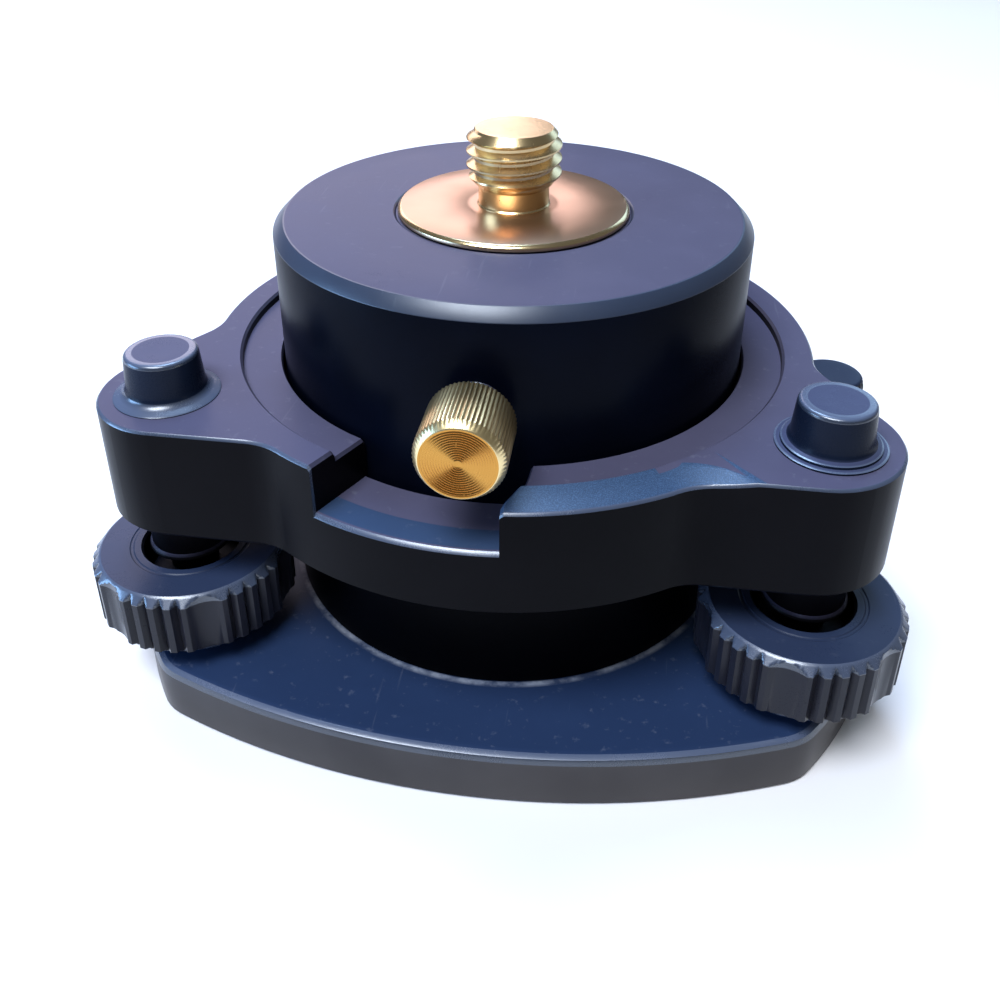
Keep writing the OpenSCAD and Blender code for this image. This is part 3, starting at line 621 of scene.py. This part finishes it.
# flares are (radius, rise over the deck, finish slot) from the rim inwards
capShape = {"flare": [(8.4, 0.0), (8.42, 0.14, edged), (8.2, 0.3, edged), (7.4, 0.58, edged),
                      (6.85, 0.95, edged), (6.45, 1.4)],
            "steppedFlare": [(8.4, 0.0), (8.42, 0.3, edged), (8.1, 0.42), (7.55, 0.42),
                             (7.5, 0.8, edged), (7.25, 0.9), (6.65, 1.1), (6.35, 1.5)],
            "stepped": ("right",), "side": [(6.2, 2.2), (5.85, 6.7)], "shoulder": (5.8, 6.95, 5.1, 7.68),
            "crown": [(4.4, 7.7), (2.2, 7.64), (0, 7.62)]}


def makeCap(foot):
    c = capShape
    deck = high("tribrach_body", "z")
    flare = c["steppedFlare"] if foot in c["stepped"] else c["flare"]
    profile = [(0, -0.3), (8.2, -0.3)] + flare + c["side"] + rounded(*c["shoulder"], 4, edged) + c["crown"]
    raised = [(r, deck + z, *slot) for r, z, *slot in profile]
    spot = polar(footCircle, feet[foot])
    cap = lathe("cap_" + foot, raised, ["capBlack", "blackEdge"], spot, 96)
    settle(cap, "upper", "cap_black", "dust_cap_" + foot)


for foot in feet:
    makeKnob(foot)
    makeStem(foot)
    makeSleeve(foot)
    makeCap(foot)
print("foot screws made")


# angles are in degrees round the axis, and the notch and the broad rim bevel face the front
bodyShape = {"sideAt": 42.2, "nose": 13.3, "hollow": 10.0, "bore": 40.8, "recess": 47.5, "recessDepth": 1.5,
             "recessFloor": 44.5, "core": 36.7, "coreLow": 41.0, "notchFloor": 46.9, "notchLeft": -116.0,
             "notchRight": -84.2, "bevelEnd": -57.4, "bevelFall": 1.45, "flare": 11.9, "edge": 0.45,
             "slotFrom": 1.6, "slotTo": 53.4, "slotLow": 37.85, "slotHigh": 40.9, "slotDeep": 36.8,
             # the notch's right wall as (radius, angle), from the rim inwards
             "rightWall": [(54.2, -84.48), (51.26, -84.18), (50.2, -83.5), (47.1, -80.7), (40.8, -78.4)],
             # degrees from a side's middle at which its outline changes curve
             "corners": (33.77, 36.7, 39.6, 49.87, 52.4, 54.9, 57.4)}
bodyLow, deck = span("tribrach_body", "z")
barrel = -low("tribrach_body", "y")


def bodyEdge(a):
    # barrel, hollow, straight side and round nose, three times round
    b = bodyShape
    d = abs((a + 90 + 60) % 120 - 60)
    hollowAt = barrel + b["hollow"]
    hollowA = degrees(acos((b["sideAt"] + b["hollow"]) / hollowAt))
    straightA = degrees(atan(hollowAt * sin(radians(hollowA)) / b["sideAt"]))
    noseAt = 2 * (b["sideAt"] - b["nose"])
    noseA = degrees(atan(noseAt * sin(radians(60)) / b["sideAt"]))
    if d <= hollowA:
        return barrel
    if d <= straightA:
        across = hollowAt * sin(radians(d - hollowA))
        return hollowAt * cos(radians(d - hollowA)) - sqrt(b["hollow"] ** 2 - across ** 2)
    if d <= noseA:
        return b["sideAt"] / cos(radians(d))
    return noseAt * cos(radians(60 - d)) + sqrt(b["nose"] ** 2 - (noseAt * sin(radians(60 - d))) ** 2)


def bevelStart(a, edge):
    # radius at which the broad rim bevel begins at this angle, or None
    b = bodyShape
    if b["notchRight"] - 0.4 <= a <= b["bevelEnd"]:
        return b["recess"]
    if b["bevelEnd"] < a < -40:
        cx, cy = flareCentre
        along = cx * cos(radians(a)) + cy * sin(radians(a))
        off = cx * cx + cy * cy - along ** 2
        if off < b["flare"] ** 2:
            near = along - sqrt(b["flare"] ** 2 - off)
            return near if near < edge else None
    return None


flareCentre = polar(bodyShape["recess"] + bodyShape["flare"], bodyShape["bevelEnd"])


def wallAngle(r):
    wall = bodyShape["rightWall"]
    for (r0, a0), (r1, a1) in zip(wall, wall[1:]):
        if r1 <= r <= r0:
            return a1 + (a0 - a1) * (r - r1) / (r0 - r1)
    return wall[0][1] if r > 54 else wall[-1][1]


def columnAngle(u, r):
    # columns near the notch lean with its right wall
    left, right, end = bodyShape["notchLeft"], bodyShape["notchRight"], bodyShape["bevelEnd"]
    if left < u < end:
        share = (u - left) / (right - left) if u < right else (end - u) / (end - right)
        return u + (wallAngle(r) - right) * share
    return u


def bodyColumns():
    # (angle, kind, in the lever's slot) of every section round the body
    b = bodyShape
    left, right = b["notchLeft"], b["notchRight"]

    def slotted(u):
        return b["slotFrom"] < u < b["slotTo"]
    columns = []
    for u in range(-180, 180):
        if not left - 1.5 < u < left + 0.8 and not right - 1.3 < u < right + 1.7:
            columns.append((float(u), "notch" if left < u < right else "deck", slotted(u)))
    columns += [(left - 0.55, "deck", False), (left, "lip", False), (left, "notch", False),
                (left + 0.02, "notch", False), (right - 0.01, "notch", False), (right, "notch", False),
                (right, "lip", False), (right + 0.55, "deck", False), (right + 1.6, "deck", False)]
    columns += [(b["slotFrom"], "deck", False), (b["slotFrom"] + 0.001, "deck", True),
                (b["slotTo"], "deck", True), (b["slotTo"] + 0.001, "deck", False)]
    for mirror in (-1, 1):
        for side in (-90, 30, 150):
            for turn in b["corners"]:
                u = (side + mirror * turn + 180) % 360 - 180
                if not left - 2 < u < right + 2.2:
                    columns.append((u, "deck", slotted(u)))
    order = {"deck": 0, "lip": 1, "notch": 2}
    columns.sort(key=lambda c: (c[0], order[c[1]] if c[0] < -100 else -order[c[1]]))
    return columns


def topAt(u, r, kind, start):
    # height of the top face at this radius
    b = bodyShape
    slope = b["bevelFall"] / (barrel - b["recess"])
    z = deck
    if start is not None and r > start:
        if u <= b["bevelEnd"]:
            z -= (r - b["recess"]) * slope
        else:
            x, y = polar(r, u)
            z -= max(b["flare"] - hypot(x - flareCentre[0], y - flareCentre[1]), 0) * slope
    if kind == "lip":
        z -= b["edge"]
    return min(z, b["notchFloor"]) if kind == "notch" else z


def bodySection(u, kind, slotted):
    # (radius, height, band) round one section, from the bore over the top and back underneath
    b = bodyShape
    e, bore, recess, core = b["edge"], b["bore"], b["recess"], b["core"]
    edge = bodyEdge(columnAngle(u, barrel))
    start = bevelStart(u, edge)

    def top(r):
        return topAt(u, r, kind, start)
    ledge = deck - b["recessDepth"] - (e if kind == "lip" else 0)
    if kind == "notch":
        ledge = b["notchFloor"]
    crease = start if start is not None and start > 48.4 else 49.0
    crease = min(max(crease, 48.4), edge - 1.4)
    outer = edge - (0.6 if kind == "notch" else e)
    lip, brink = edge - outer, outer - 0.35
    deep = b["slotDeep"] if slotted else edge
    inner = [(core, b["recessFloor"]), (bore, b["recessFloor"]), (bore, ledge - e), (bore + 0.3, ledge),
             (44.5, ledge), (recess - 0.1, ledge)]
    onDeck = [(recess, max(ledge, top(recess) - 0.4)), (recess + 0.4, top(recess + 0.4))]
    onRim = [(r, top(r)) for r in (crease + (brink - crease) * t for t in (0.0, 0.2, 0.4, 0.6, 0.8))]
    onEdge = [(outer, top(outer)), (outer + lip * 0.45, top(outer) - lip * 0.28)]
    side = [(edge, top(outer) - lip), (edge, b["slotHigh"]), (deep, b["slotHigh"]), (deep, b["slotLow"]),
            (edge, b["slotLow"]), (edge, bodyLow + 0.5), (edge - 0.5, bodyLow), (44.0, bodyLow),
            (core, bodyLow), (core, b["coreLow"])]
    bands = [("inner", inner), ("deck", onDeck), ("rim", onRim), ("brink", [(brink, top(brink))]),
             ("edge", onEdge), ("side", side)]
    spots = [(r, z, band) for band, run in bands for r, z in run]
    return spots


def makeBody():
    b = bodyShape
    columns = bodyColumns()
    sections = [bodySection(*column) for column in columns]
    count = len(sections[0])
    points, faces, slots = [], [], []
    rim, notch = 2, 3
    for i, (u, kind, slotted) in enumerate(columns):
        points += [(*polar(r, columnAngle(u, r)), z) for r, z, band in sections[i]]
        here, there = i * count, ((i + 1) % len(columns)) * count
        nextKind = columns[(i + 1) % len(columns)][1]
        bevelled = bevelStart(u, bodyEdge(u)) is not None and "notch" not in (kind, nextKind)
        for j, (r, z, band) in enumerate(sections[i]):
            k = (j + 1) % count
            faces.append((here + j, here + k, there + k, there + j))
            slot = black
            if band == "edge":
                slot = edged
            # rim bevel faces take the blue finish, a painted reflection
            elif bevelled and (band in ("rim", "brink") or band == "deck" and u <= b["bevelEnd"]):
                slot = rim
            # notch floor faces take the bluer finish, a painted sheen
            elif kind == "notch" and band in ("deck", "rim"):
                slot = notch
            slots.append(slot)
    finishes = bodyFinishes + ["blastedRim", "notchBlack"]
    body = build("tribrachBody", points, faces, finishes, slots, sharp=24)
    settle(body, "upper", "body_black")


socketFloor = {"hole": 13.0, "boss": 17.0, "bossLow": 36.9, "studHole": 5.2, "studAt": 28.0}


def makeSocketFloor():
    s, b = socketFloor, bodyShape
    hole, top = s["hole"], b["recessFloor"]
    profile = [(hole, s["bossLow"]), (s["boss"], s["bossLow"]), (s["boss"], b["coreLow"]),
               (b["core"], b["coreLow"]), (b["core"], top), (hole + 0.4, top), (hole, top - 0.4)]
    piece = lathe("socketFloor", profile, ["blackAnodised"], closed=True)
    carve(piece, *[rod(s["studHole"], 35, 46, polar(s["studAt"], a)) for a in feet.values()])
    settle(piece, "upper", "body_black", "tribrach_body")


lockHousing = {"hole": 13.0, "inner": 34.8, "cup": 36.4, "floor": 1.5, "flangeLow": 34.2, "bevel": 0.6}


def makeLockHousing():
    h = lockHousing
    rim, (bottom, top) = high("lock_housing", "x"), span("lock_housing", "z")
    cup, flange, bevel = h["cup"], h["flangeLow"], h["bevel"]
    profile = [(h["hole"], bottom), (cup - bevel, bottom), (cup, bottom + bevel), (cup, flange),
               (rim - 0.4, flange, edged), (rim, flange + 0.4), (rim, bodyLow), (cup, bodyLow), (cup, top),
               (h["inner"], top), (h["inner"], bottom + h["floor"]), (h["hole"], bottom + h["floor"])]
    housing = lathe("lockHousing", profile, bodyFinishes, closed=True)
    settle(housing, "upper", "body_black", "lock_housing")


makeBody()
makeSocketFloor()
makeLockHousing()


levelEar = {"angle": 124, "at": 62.5, "radius": 9.5, "root": 44.8, "low": 43.2, "high": 47.2, "bevel": 0.4}
earSpot = polar(levelEar["at"], levelEar["angle"])


def makeEar():
    e = levelEar
    at, radius, root = e["at"], e["radius"], e["root"]
    outline = [(at + radius * cos(radians(t)), radius * sin(radians(t))) for t in range(-90, 91, 6)]
    outline = swing(outline + [(root, radius), (root, -radius)], e["angle"])
    cx, cy = polar(56, e["angle"])
    levels = [(e["low"], 1), (e["low"], 0.04), (e["low"] + e["bevel"], 0), (e["high"] - e["bevel"], 0),
              (e["high"], 0.04), (e["high"], 1)]
    rings = [[(x + (cx - x) * inset, y + (cy - y) * inset, z) for x, y in outline] for z, inset in levels]
    ear = loft("levelEar", rings, bodyFinishes, [black, edged, black, edged, black])
    settle(ear, "upper", "body_black")


# dome, bubble and mark are (radius, height), and the bubble lies a little out of centre
levelShape = {"radius": 9.0, "bore": 6.6, "edge": 0.4, "floor": 54.2, "crown": 54.97,
              "dome": [(4.6, 54.86), (2.4, 54.95), (2.3, 54.93)],
              "bubble": [(0, 54.6), (1.6, 54.7), (2.1, 54.93), (1.9, 55.02), (1.2, 55.1), (0, 55.14)],
              "bubbleOff": (0.6, -0.4), "mark": [(2.9, 54.9), (3.1, 54.98), (3.3, 54.9)]}


def makeLevel():
    s = levelShape
    radius, bore, edge = s["radius"], s["bore"], s["edge"]
    (bottom, top), glassLow = span("level_housing", "z"), low("level_vial", "z")
    profile = [(0, bottom), (radius - edge, bottom, edged), (radius, bottom + edge),
               (radius, top - 0.7, edged), (radius - 0.5, top - 0.1), (radius - 1.0, top),
               (bore + edge, top, edged), (bore, top - 0.3), (bore, s["floor"]), (0, s["floor"])]
    housing = lathe("levelHousing", profile, bodyFinishes, earSpot, 96)
    settle(housing, "upper", "level_black", "level_housing")
    profile = [(0, glassLow), (bore, glassLow), (bore, 54.4), (bore - edge, 54.7)]
    profile += s["dome"] + [(0, s["crown"])]
    glass = lathe("levelGlass", profile, ["vialGlass"], earSpot, 64)
    settle(glass, "upper", "level_glass", "level_vial")
    spot = [place + off for place, off in zip(earSpot, s["bubbleOff"])]
    bubble = lathe("levelBubble", s["bubble"], ["whiteAcetal"], spot, 48)
    settle(bubble, "upper", "level_glass")
    mark = lathe("levelMark", s["mark"], ["leverBlack"], earSpot, 64, closed=True)
    settle(mark, "upper", "level_black")


makeEar()
print("body made")
makeLevel()


leverGrip = {"at": 59.6, "angle": 10, "radius": 6.2, "flutes": 24, "fluteDeep": 0.22}
gripSpot = polar(leverGrip["at"], leverGrip["angle"])


def fluted(r, a):
    g = leverGrip
    wave = 0.5 - 0.5 * cos(radians(a * g["flutes"]))
    return r - (g["fluteDeep"] * wave if r > g["radius"] - 0.3 else 0)


def makeLever():
    r, (bottom, top) = leverGrip["radius"], span("lock_lever", "z")
    profile = [(0, bottom), (r - 0.6, bottom, edged), (r, bottom + 0.6), (r, bottom + 3.2), (r, top - 1.8),
               (r - 0.08, top - 1.2)]
    profile += rounded(r - 0.2, top - 1.0, r - 1.2, top - 0.05, 5)
    profile += [(4.2, top), (2.4, top - 0.1), (0, top - 0.15)]
    # the grip's edges take the drum's lighter edge finish, a painted highlight
    grip = lathe("leverGrip", profile, ["leverBlack", "paintedDrumEdgeHighlight"], gripSpot, 192, bend=fluted)
    settle(grip, "lock", "lever_black", "lock_lever")


makeLever()


sideways = Matrix.Translation((0, 0, clampAxis)) @ Matrix.Rotation(pi / 2, 4, "X")

drumShape = {"chamfer": 1.75, "footBevel": 0.6, "hollow": 20.0, "rib": 50.0, "spindleHole": 11.05,
             "washer": 17.05, "flangeSink": 0.45, "clampHole": 3.15, "studHole": 3.6, "eyelet": 4.3}


def makeDrum():
    d = drumShape
    radius, (bottom, top) = high("adapter_drum", "x"), span("adapter_drum", "z")
    washerLow, sink = low("thrust_washer", "z"), top - d["flangeSink"]
    hole, hollow, chamfer, bevel = d["spindleHole"], d["hollow"], d["chamfer"], d["footBevel"]
    profile = [(hole, d["rib"]), (hollow, d["rib"]), (hollow, bottom + 0.3), (hollow + 0.3, bottom),
               (radius - bevel, bottom, edged), (radius, bottom + bevel), (radius, 62.0),
               (radius, top - chamfer - 0.12, edged), (radius - 0.05, top - chamfer, edged),
               (radius - chamfer, top - 0.04, edged), (radius - 2.0, top), (30, top),
               (hollow + 0.35, top, edged), (hollow + 0.1, top - 0.2), (hollow - 0.1, sink),
               (d["washer"], sink), (d["washer"], washerLow), (hole, washerLow)]
    # the second finish is the lighter edge finish, a painted highlight
    finishes = ["drumBlack", "paintedDrumEdgeHighlight"]
    drum = lathe("adapterDrum", profile, finishes, steps=256, closed=True)
    studHoles = [rod(d["studHole"], 44, 54, polar(socketFloor["studAt"], a), 48) for a in feet.values()]
    carve(drum, rod(d["clampHole"], 12, 44, steps=48, place=sideways), *studHoles)
    settle(drum, "adapter", "drum_black", "adapter_drum")
    out, hole = d["eyelet"], d["clampHole"] - 0.05
    profile = [(hole, radius - 0.4), (out, radius - 0.4), (out, radius + 0.06, edged),
               (out - 0.2, radius + 0.25), (hole + 0.2, radius + 0.25), (hole, radius + 0.1)]
    eyelet = lathe("clampEyelet", profile, finishes, steps=64, closed=True, place=sideways)
    settle(eyelet, "adapter", "drum_black")


makeDrum()


# 5/8 inch stud with 11 threads to the inch
studShape = {"pitch": 25.4 / 11, "major": 7.9375, "minor": 6.72, "crest": 0.125, "root": 0.2, "foot": 79.2,
             "threadFrom": 82.7, "face": 6.45, "relief": 5.95, "runOut": 0.95}


def threadRadius(t):
    # one turn of a 60 degree thread, t from 0 to 1
    s = studShape
    crest, root = s["crest"] / 2, s["root"] / 2
    if t < crest or t > 1 - crest:
        return s["major"]
    if abs(t - 0.5) < root:
        return s["minor"]
    away = (t - crest) if t < 0.5 else (1 - crest - t)
    return s["major"] - (s["major"] - s["minor"]) * away / (0.5 - crest - root)


def helix(z0, z1, lowRadius, highRadius, inside=False, steps=120):
    # rings of a thread that ends on a given radius at each end
    pitch, runOut = studShape["pitch"], studShape["runOut"]
    cuts = (0, 0.0625, 0.17, 0.29, 0.4, 0.5, 0.6, 0.71, 0.83, 0.9375)
    rings = []
    for turn in range(-1, int((z1 - z0) / pitch) + 3):
        for cut in cuts:
            ring = []
            for j in range(steps + 1):
                a = 2 * pi * j / steps
                z = z0 + pitch * (turn + cut + j / steps - 1)
                r = threadRadius(cut)
                if inside:
                    r = r + 0.03
                else:
                    r = min(r, highRadius + (z1 - z) * runOut, lowRadius + max(z - z0, 0) * runOut)
                if z <= z0:
                    z, r = z0, lowRadius
                if z >= z1:
                    z, r = z1, highRadius
                ring.append((r * cos(a), r * sin(a), z))
            rings.append(ring)
    return rings


def makeStud():
    s = studShape
    relief, foot, top = s["relief"], s["foot"], high("brass_spindle", "z")
    spots = [(0, foot), (relief + 0.25, foot), (relief + 0.22, foot + 0.35), (relief, foot + 0.6),
             (relief, s["threadFrom"] - 0.3)]
    rings = [hoop(r, z) for r, z in spots]
    rings += helix(s["threadFrom"], top, relief + 0.12, s["face"])
    rings += [hoop(s["face"] - 0.12, top), hoop(1.7, top), hoop(0, top)]
    stud = loft("stud", rings, ["polishedBrass"], wrap=False, sharp=26)
    settle(stud, "spindle", "stud_brass")


flangeShape = {"top": 79.5, "low": 78.2, "shaft": 9.0, "dish": 8.0, "tail": 6.0}


def makeFlange():
    s = flangeShape
    radius, drumTop = high("brass_spindle", "x"), high("adapter_drum", "z")
    top, shaft = s["top"], s["shaft"]
    bottom, (washerLow, shoulder) = low("brass_spindle", "z"), span("spindle_washer", "z")
    profile = [(shaft, shoulder), (shaft, s["low"]), (radius - 0.4, s["low"] + 0.05), (radius, drumTop),
               (radius, drumTop + 0.45, edged), (radius - 0.08, drumTop + 0.58, edged),
               (radius - 0.46, top - 0.06, edged), (radius - 0.6, top), (14, top), (s["dish"] + 0.2, top),
               (s["dish"], top - 0.06), (7.2, top - 0.06), (6.1, top - 0.04), (0, top - 0.04),
               (0, washerLow), (shaft, washerLow)]
    # the rim takes the brighter flange finish, a painted highlight
    flange = lathe("brassFlange", profile, ["flangeBrass", "paintedFlangeHighlight"], steps=192, closed=True)
    settle(flange, "spindle", "stud_brass", "brass_spindle")
    tail = s["tail"]
    profile = [(0, bottom), (tail - 0.6, bottom), (tail, bottom + 0.6), (tail, shoulder), (0, shoulder)]
    piece = lathe("spindleTail", profile, ["bushBrass"], steps=64)
    settle(piece, "spindle", "stud_brass")


makeStud()
makeFlange()


clampShape = {"teeth": 60, "toothDeep": 0.18, "toothShape": 1.3, "chamfer": 1.36, "rings": 28,
              "ringDeep": 0.09, "ringStep": 0.18, "neck": 2.7, "shankLow": 13.1, "shankHigh": 51.0}
clampRadius = high("clamp_knob", "x")


def knurled(r, a):
    c = clampShape
    turn = (a * c["teeth"] / 360) % 1.0
    groove = c["toothDeep"] * abs(2 * turn - 1) ** c["toothShape"]
    return min(r, clampRadius - groove) if r > 5.3 else r


def makeClampKnob():
    c = clampShape
    radius, (face, back) = clampRadius, [-y for y in span("clamp_knob", "y")]
    turned, bevel = 1, 2
    profile = [(0, back), (5.2, back), (5.9, back + 0.1), (radius, back + 0.6),
               (radius, face - c["chamfer"]), (radius - 0.2, face - c["chamfer"] + 0.28, bevel),
               (5.65, face - 0.14, bevel), (5.45, face - 0.01, turned)]
    for k in range(c["rings"]):                # fine turned rings on the end face
        profile.append((5.3 - k * c["ringStep"], face - (c["ringDeep"] if k % 2 else 0.0), turned))
    profile += [(0.2, face - 0.1, turned), (0, face - 0.1)]
    # the chamfer takes the brighter bevel finish, a painted highlight
    finishes = ["knurledBrass", "faceBrass", "paintedBevelHighlight"]
    knob = lathe("clampKnob", profile, finishes, steps=720, place=sideways, bend=knurled, sharp=40)
    settle(knob, "clamp_screw", "clamp_brass", "clamp_knob")


def makeClampShank():
    c = clampShape
    back, radius, neck = -high("clamp_knob", "y"), high("clamp_shank", "x"), c["neck"]
    profile = [(0, c["shankLow"]), (radius, c["shankLow"]), (radius, 40.2), (neck, 40.5), (neck, back - 0.4),
               (radius, back), (radius, c["shankHigh"]), (0, c["shankHigh"])]
    shank = lathe("clampShank", profile, ["screwSteel"], steps=64, place=sideways)
    settle(shank, "clamp_screw", "screw_steel", "clamp_shank")


makeClampKnob()
makeClampShank()
print("adapter made")


# at, angles and z place the heads; way is 1 for heads that look up and -1 for heads that look down
screwSets = {
    "skirt_screws": {"body": "base", "at": 35.4, "angles": thirds, "z": 12.2, "way": 1,
                     "head": 2.2, "rise": 1.4, "length": 6.4, "shank": 1.25},
    "bush_screws": {"body": "base", "at": 14.6, "angles": (-30, 90, 210), "z": 12.0, "way": 1,
                    "head": 2.2, "rise": 1.4, "length": 6.2, "shank": 1.25},
    "spring_plate_screws": {"body": "base", "at": 20, "angles": thirds, "z": 1.2, "way": -1,
                            "head": 2.8, "rise": 1.0, "length": 5.5, "shank": 1.5},
    "housing_screws": {"body": "upper", "at": 42, "angles": (75, 195, 315), "z": 34.2, "way": -1,
                       "head": 2.2, "rise": 1.1, "length": 7.2, "shank": 1.25},
    "retainer_screws": {"body": "upper", "at": 15, "angles": thirds, "z": 35.7, "way": -1,
                        "head": 1.6, "rise": 0.8, "length": 4.6, "shank": 0.9},
    "lever_screw": {"body": "lock", "centre": gripSpot, "at": 0, "angles": (0,), "z": 36.8, "way": -1,
                    "head": 2.3, "rise": 1.0, "length": 5.6, "shank": 1.25},
    "level_screws": {"body": "upper", "centre": earSpot, "at": 5.4, "angles": (124, 244, 364), "z": 43.2,
                     "way": -1, "head": 1.9, "rise": 1.3, "length": 5.6, "shank": 1.1,
                     "finish": "bushBrass", "slot": "bush_brass"},
}


def screwRings(s, cx, cy, steps=36):
    head, rise, shank, length = s["head"], s["rise"], s["shank"], s["length"]
    socket = head * 0.45
    levels = [(0, -length), (shank, -length), (shank, 0), (head, 0), (head, rise * 0.55),
              (head * 0.93, rise * 0.82), (head * 0.78, rise), (socket * 1.1, rise), ("hex", rise),
              ("hex", rise * 0.35), (0, rise * 0.35)]
    rings = []
    for r, h in levels:
        ring = []
        for j in range(steps):
            a = 360 * j / steps
            radius = socket / cos(radians((a + 30) % 60 - 30)) * 0.93 if r == "hex" else r
            x, y = polar(radius, a)
            ring.append((cx + x, cy + s["way"] * y, s["z"] + s["way"] * h))
        rings.append(ring)
    return rings


def makeScrews(nodeName):
    s = screwSets[nodeName]
    steps = 36
    x0, y0 = s.get("centre", (0, 0))
    points, faces = [], []
    for a in s["angles"]:
        x, y = polar(s["at"], a)
        rings = screwRings(s, x0 + x, y0 + y, steps)
        for i in range(len(rings) - 1):
            below = len(points) + i * steps
            for j in range(steps):
                k = (j + 1) % steps
                faces.append((below + j, below + k, below + steps + k, below + steps + j))
        points += [p for ring in rings for p in ring]
    piece = build("screws_" + nodeName, points, faces, [s.get("finish", "screwSteel")], sharp=30)
    settle(piece, s["body"], s.get("slot", "screw_steel"), nodeName)


for nodeName in screwSets:
    makeScrews(nodeName)


bushShape = {"flange": 17.0, "flangeLow": 10.0, "sleeve": 12.0, "low": 0.3, "lowRadius": 8.1,
             "highRadius": 7.9}


def makeBush():
    b = bushShape
    flange, sleeve, top = b["flange"], b["sleeve"], high("tripod_bush", "z")
    outside = [(b["highRadius"], top), (flange - 0.4, top), (flange, top - 0.4), (flange, b["flangeLow"]),
               (sleeve, b["flangeLow"]), (sleeve, b["low"]), (sleeve - 0.3, 0), (b["lowRadius"], 0)]
    rings = [hoop(r, z) for r, z in outside]
    rings += helix(0.0, top, b["lowRadius"], b["highRadius"], inside=True)
    rings.append(rings[0])
    bush = loft("tripodBush", rings, ["bushBrass"], wrap=False, sharp=26)
    settle(bush, "base", "bush_brass", "tripod_bush")


makeBush()


carried = {
    "spring_plate": "springSteel", "lock_retainer": "springSteel", "wave_spring": "springSteel",
    "lock_plate": "springSteel", "spindle_washer": "springSteel", "seat_pads": "screwSteel",
    "spindle_nut": "screwSteel", "clamp_pad": "knurledBrass", "top_bush": "bushBrass",
    "bottom_bush": "bushBrass", "thrust_washer": "whiteAcetal",
}
# the nuts inside the knob wells take the darker well finish: painted shade
footCarried = {"ball_seat_": "bushBrass", "thread_bush_": "bushBrass", "knob_nut_": "wellPaintedShade",
               "locking_stud_": "screwSteel"}
softEdge = {"width": 0.00012, "segments": 2, "angle": 40}
for foot in feet:
    for start, finishName in footCarried.items():
        carried[start + foot] = finishName
for nodeName, finishName in carried.items():
    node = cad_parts[nodeName]
    node.data.materials.clear()
    node.data.materials.append(finish[finishName])
    soften = node.modifiers.new("soft edges", "BEVEL")
    soften.width, soften.segments = softEdge["width"], softEdge["segments"]
    soften.limit_method, soften.angle_limit = "ANGLE", radians(softEdge["angle"])
print("screws and carried nodes made")


floorLook = {"size": 8000.0, "tone": (0.966, 0.92, 0.8924), "cloudTone": (0.9476, 0.9016, 0.8832),
             "rough": 0.6}


def makeFloor():
    look = floorLook
    f = Finish("paleFloor")
    cloud = f.noise(6, 3, 0.5)
    tone = f.mix(cloud * 0.2, look["tone"], look["cloudTone"])
    links = {"Base Color": tone, "Roughness": look["rough"] + cloud * 0.1}
    finish["paleFloor"] = f.surface({"Specular IOR Level": 0.2}, links)
    half = look["size"] / 2
    corners = [(-half, -half, 0), (half, -half, 0), (half, half, 0), (-half, half, 0)]
    build("floor", corners, [(0, 1, 2, 3)], ["paleFloor"])


skyLook = {"tint": (0.93, 0.96, 1.0), "strength": 0.14}


def makeWorld():
    world = bpy.data.worlds.new("studioWorld")
    world.use_nodes = True
    back = world.node_tree.nodes["Background"]
    back.inputs["Color"].default_value = skyLook["tint"] + (1,)
    back.inputs["Strength"].default_value = skyLook["strength"]
    bpy.context.scene.world = world


# places and sizes in metres, power in watts
lamps = {
    "backLeftSoft": {"at": (-0.50, 0.95, 0.58), "aim": (0, 0, 0.06), "size": (0.9, 0.6), "power": 4.4,
                     "tint": (1.0, 0.87, 1.0)},
    "backRightSoft": {"at": (0.50, 0.95, 0.52), "aim": (0, 0, 0.06), "size": (0.5, 0.5), "power": 1.7,
                      "tint": (0.45, 0.70, 1.0)},
    "overheadBlue": {"at": (-0.17, 0.30, 0.95), "aim": (0, 0, 0.05), "size": (0.35, 0.35), "power": 6.5,
                     "tint": (0.44, 0.66, 1.0)},
    "frontPanel": {"at": (-0.26, -0.66, 1.30), "aim": (0, -0.1, 0.0), "size": (0.75, 0.5), "power": 25.0,
                   "tint": (0.80, 0.88, 1.0)},
    "leftLow": {"at": (-0.80, -0.30, 0.22), "aim": (0, 0, 0.05), "size": (0.5, 0.3), "power": 5.4,
                "tint": (0.30, 0.56, 1.0)},
}


def makeLamp(name, at, aim, size, power, tint):
    light = bpy.data.lights.new(name, "AREA")
    light.shape = "RECTANGLE"
    light.size, light.size_y = size
    light.energy = power
    light.color = tint
    holder = bpy.data.objects.new(name, light)
    holder.location = at
    holder.rotation_euler = (Vector(aim) - Vector(at)).to_track_quat("-Z", "Y").to_euler()
    bpy.context.scene.collection.objects.link(holder)


# place in metres, angles in degrees
cameraView = {"at": (0.02149, -0.16671, 0.14127), "heading": 7.575, "pitch": 28.53, "roll": 0.46,
              "lens": 37.68, "sensor": 36, "shift": (-0.0085, -0.1447), "clipStart": 0.01}


def makeCamera():
    c = cameraView
    lens = bpy.data.cameras.new("camera")
    lens.sensor_width = c["sensor"]
    lens.lens = c["lens"]
    lens.shift_x, lens.shift_y = c["shift"]
    lens.clip_start = c["clipStart"]
    viewer = bpy.data.objects.new("camera", lens)
    viewer.location = c["at"]
    turns = (c["heading"], "Z"), (90 - c["pitch"], "X"), (c["roll"], "Z")
    heading, tilt, roll = [Matrix.Rotation(radians(angle), 4, axis) for angle, axis in turns]
    viewer.rotation_euler = (heading @ tilt @ roll).to_euler()
    bpy.context.scene.collection.objects.link(viewer)
    bpy.context.scene.camera = viewer


makeFloor()
makeWorld()
for name, lamp in lamps.items():
    makeLamp(name, **lamp)
makeCamera()
bpy.context.scene.view_settings.view_transform = "Standard"
print("studio made")
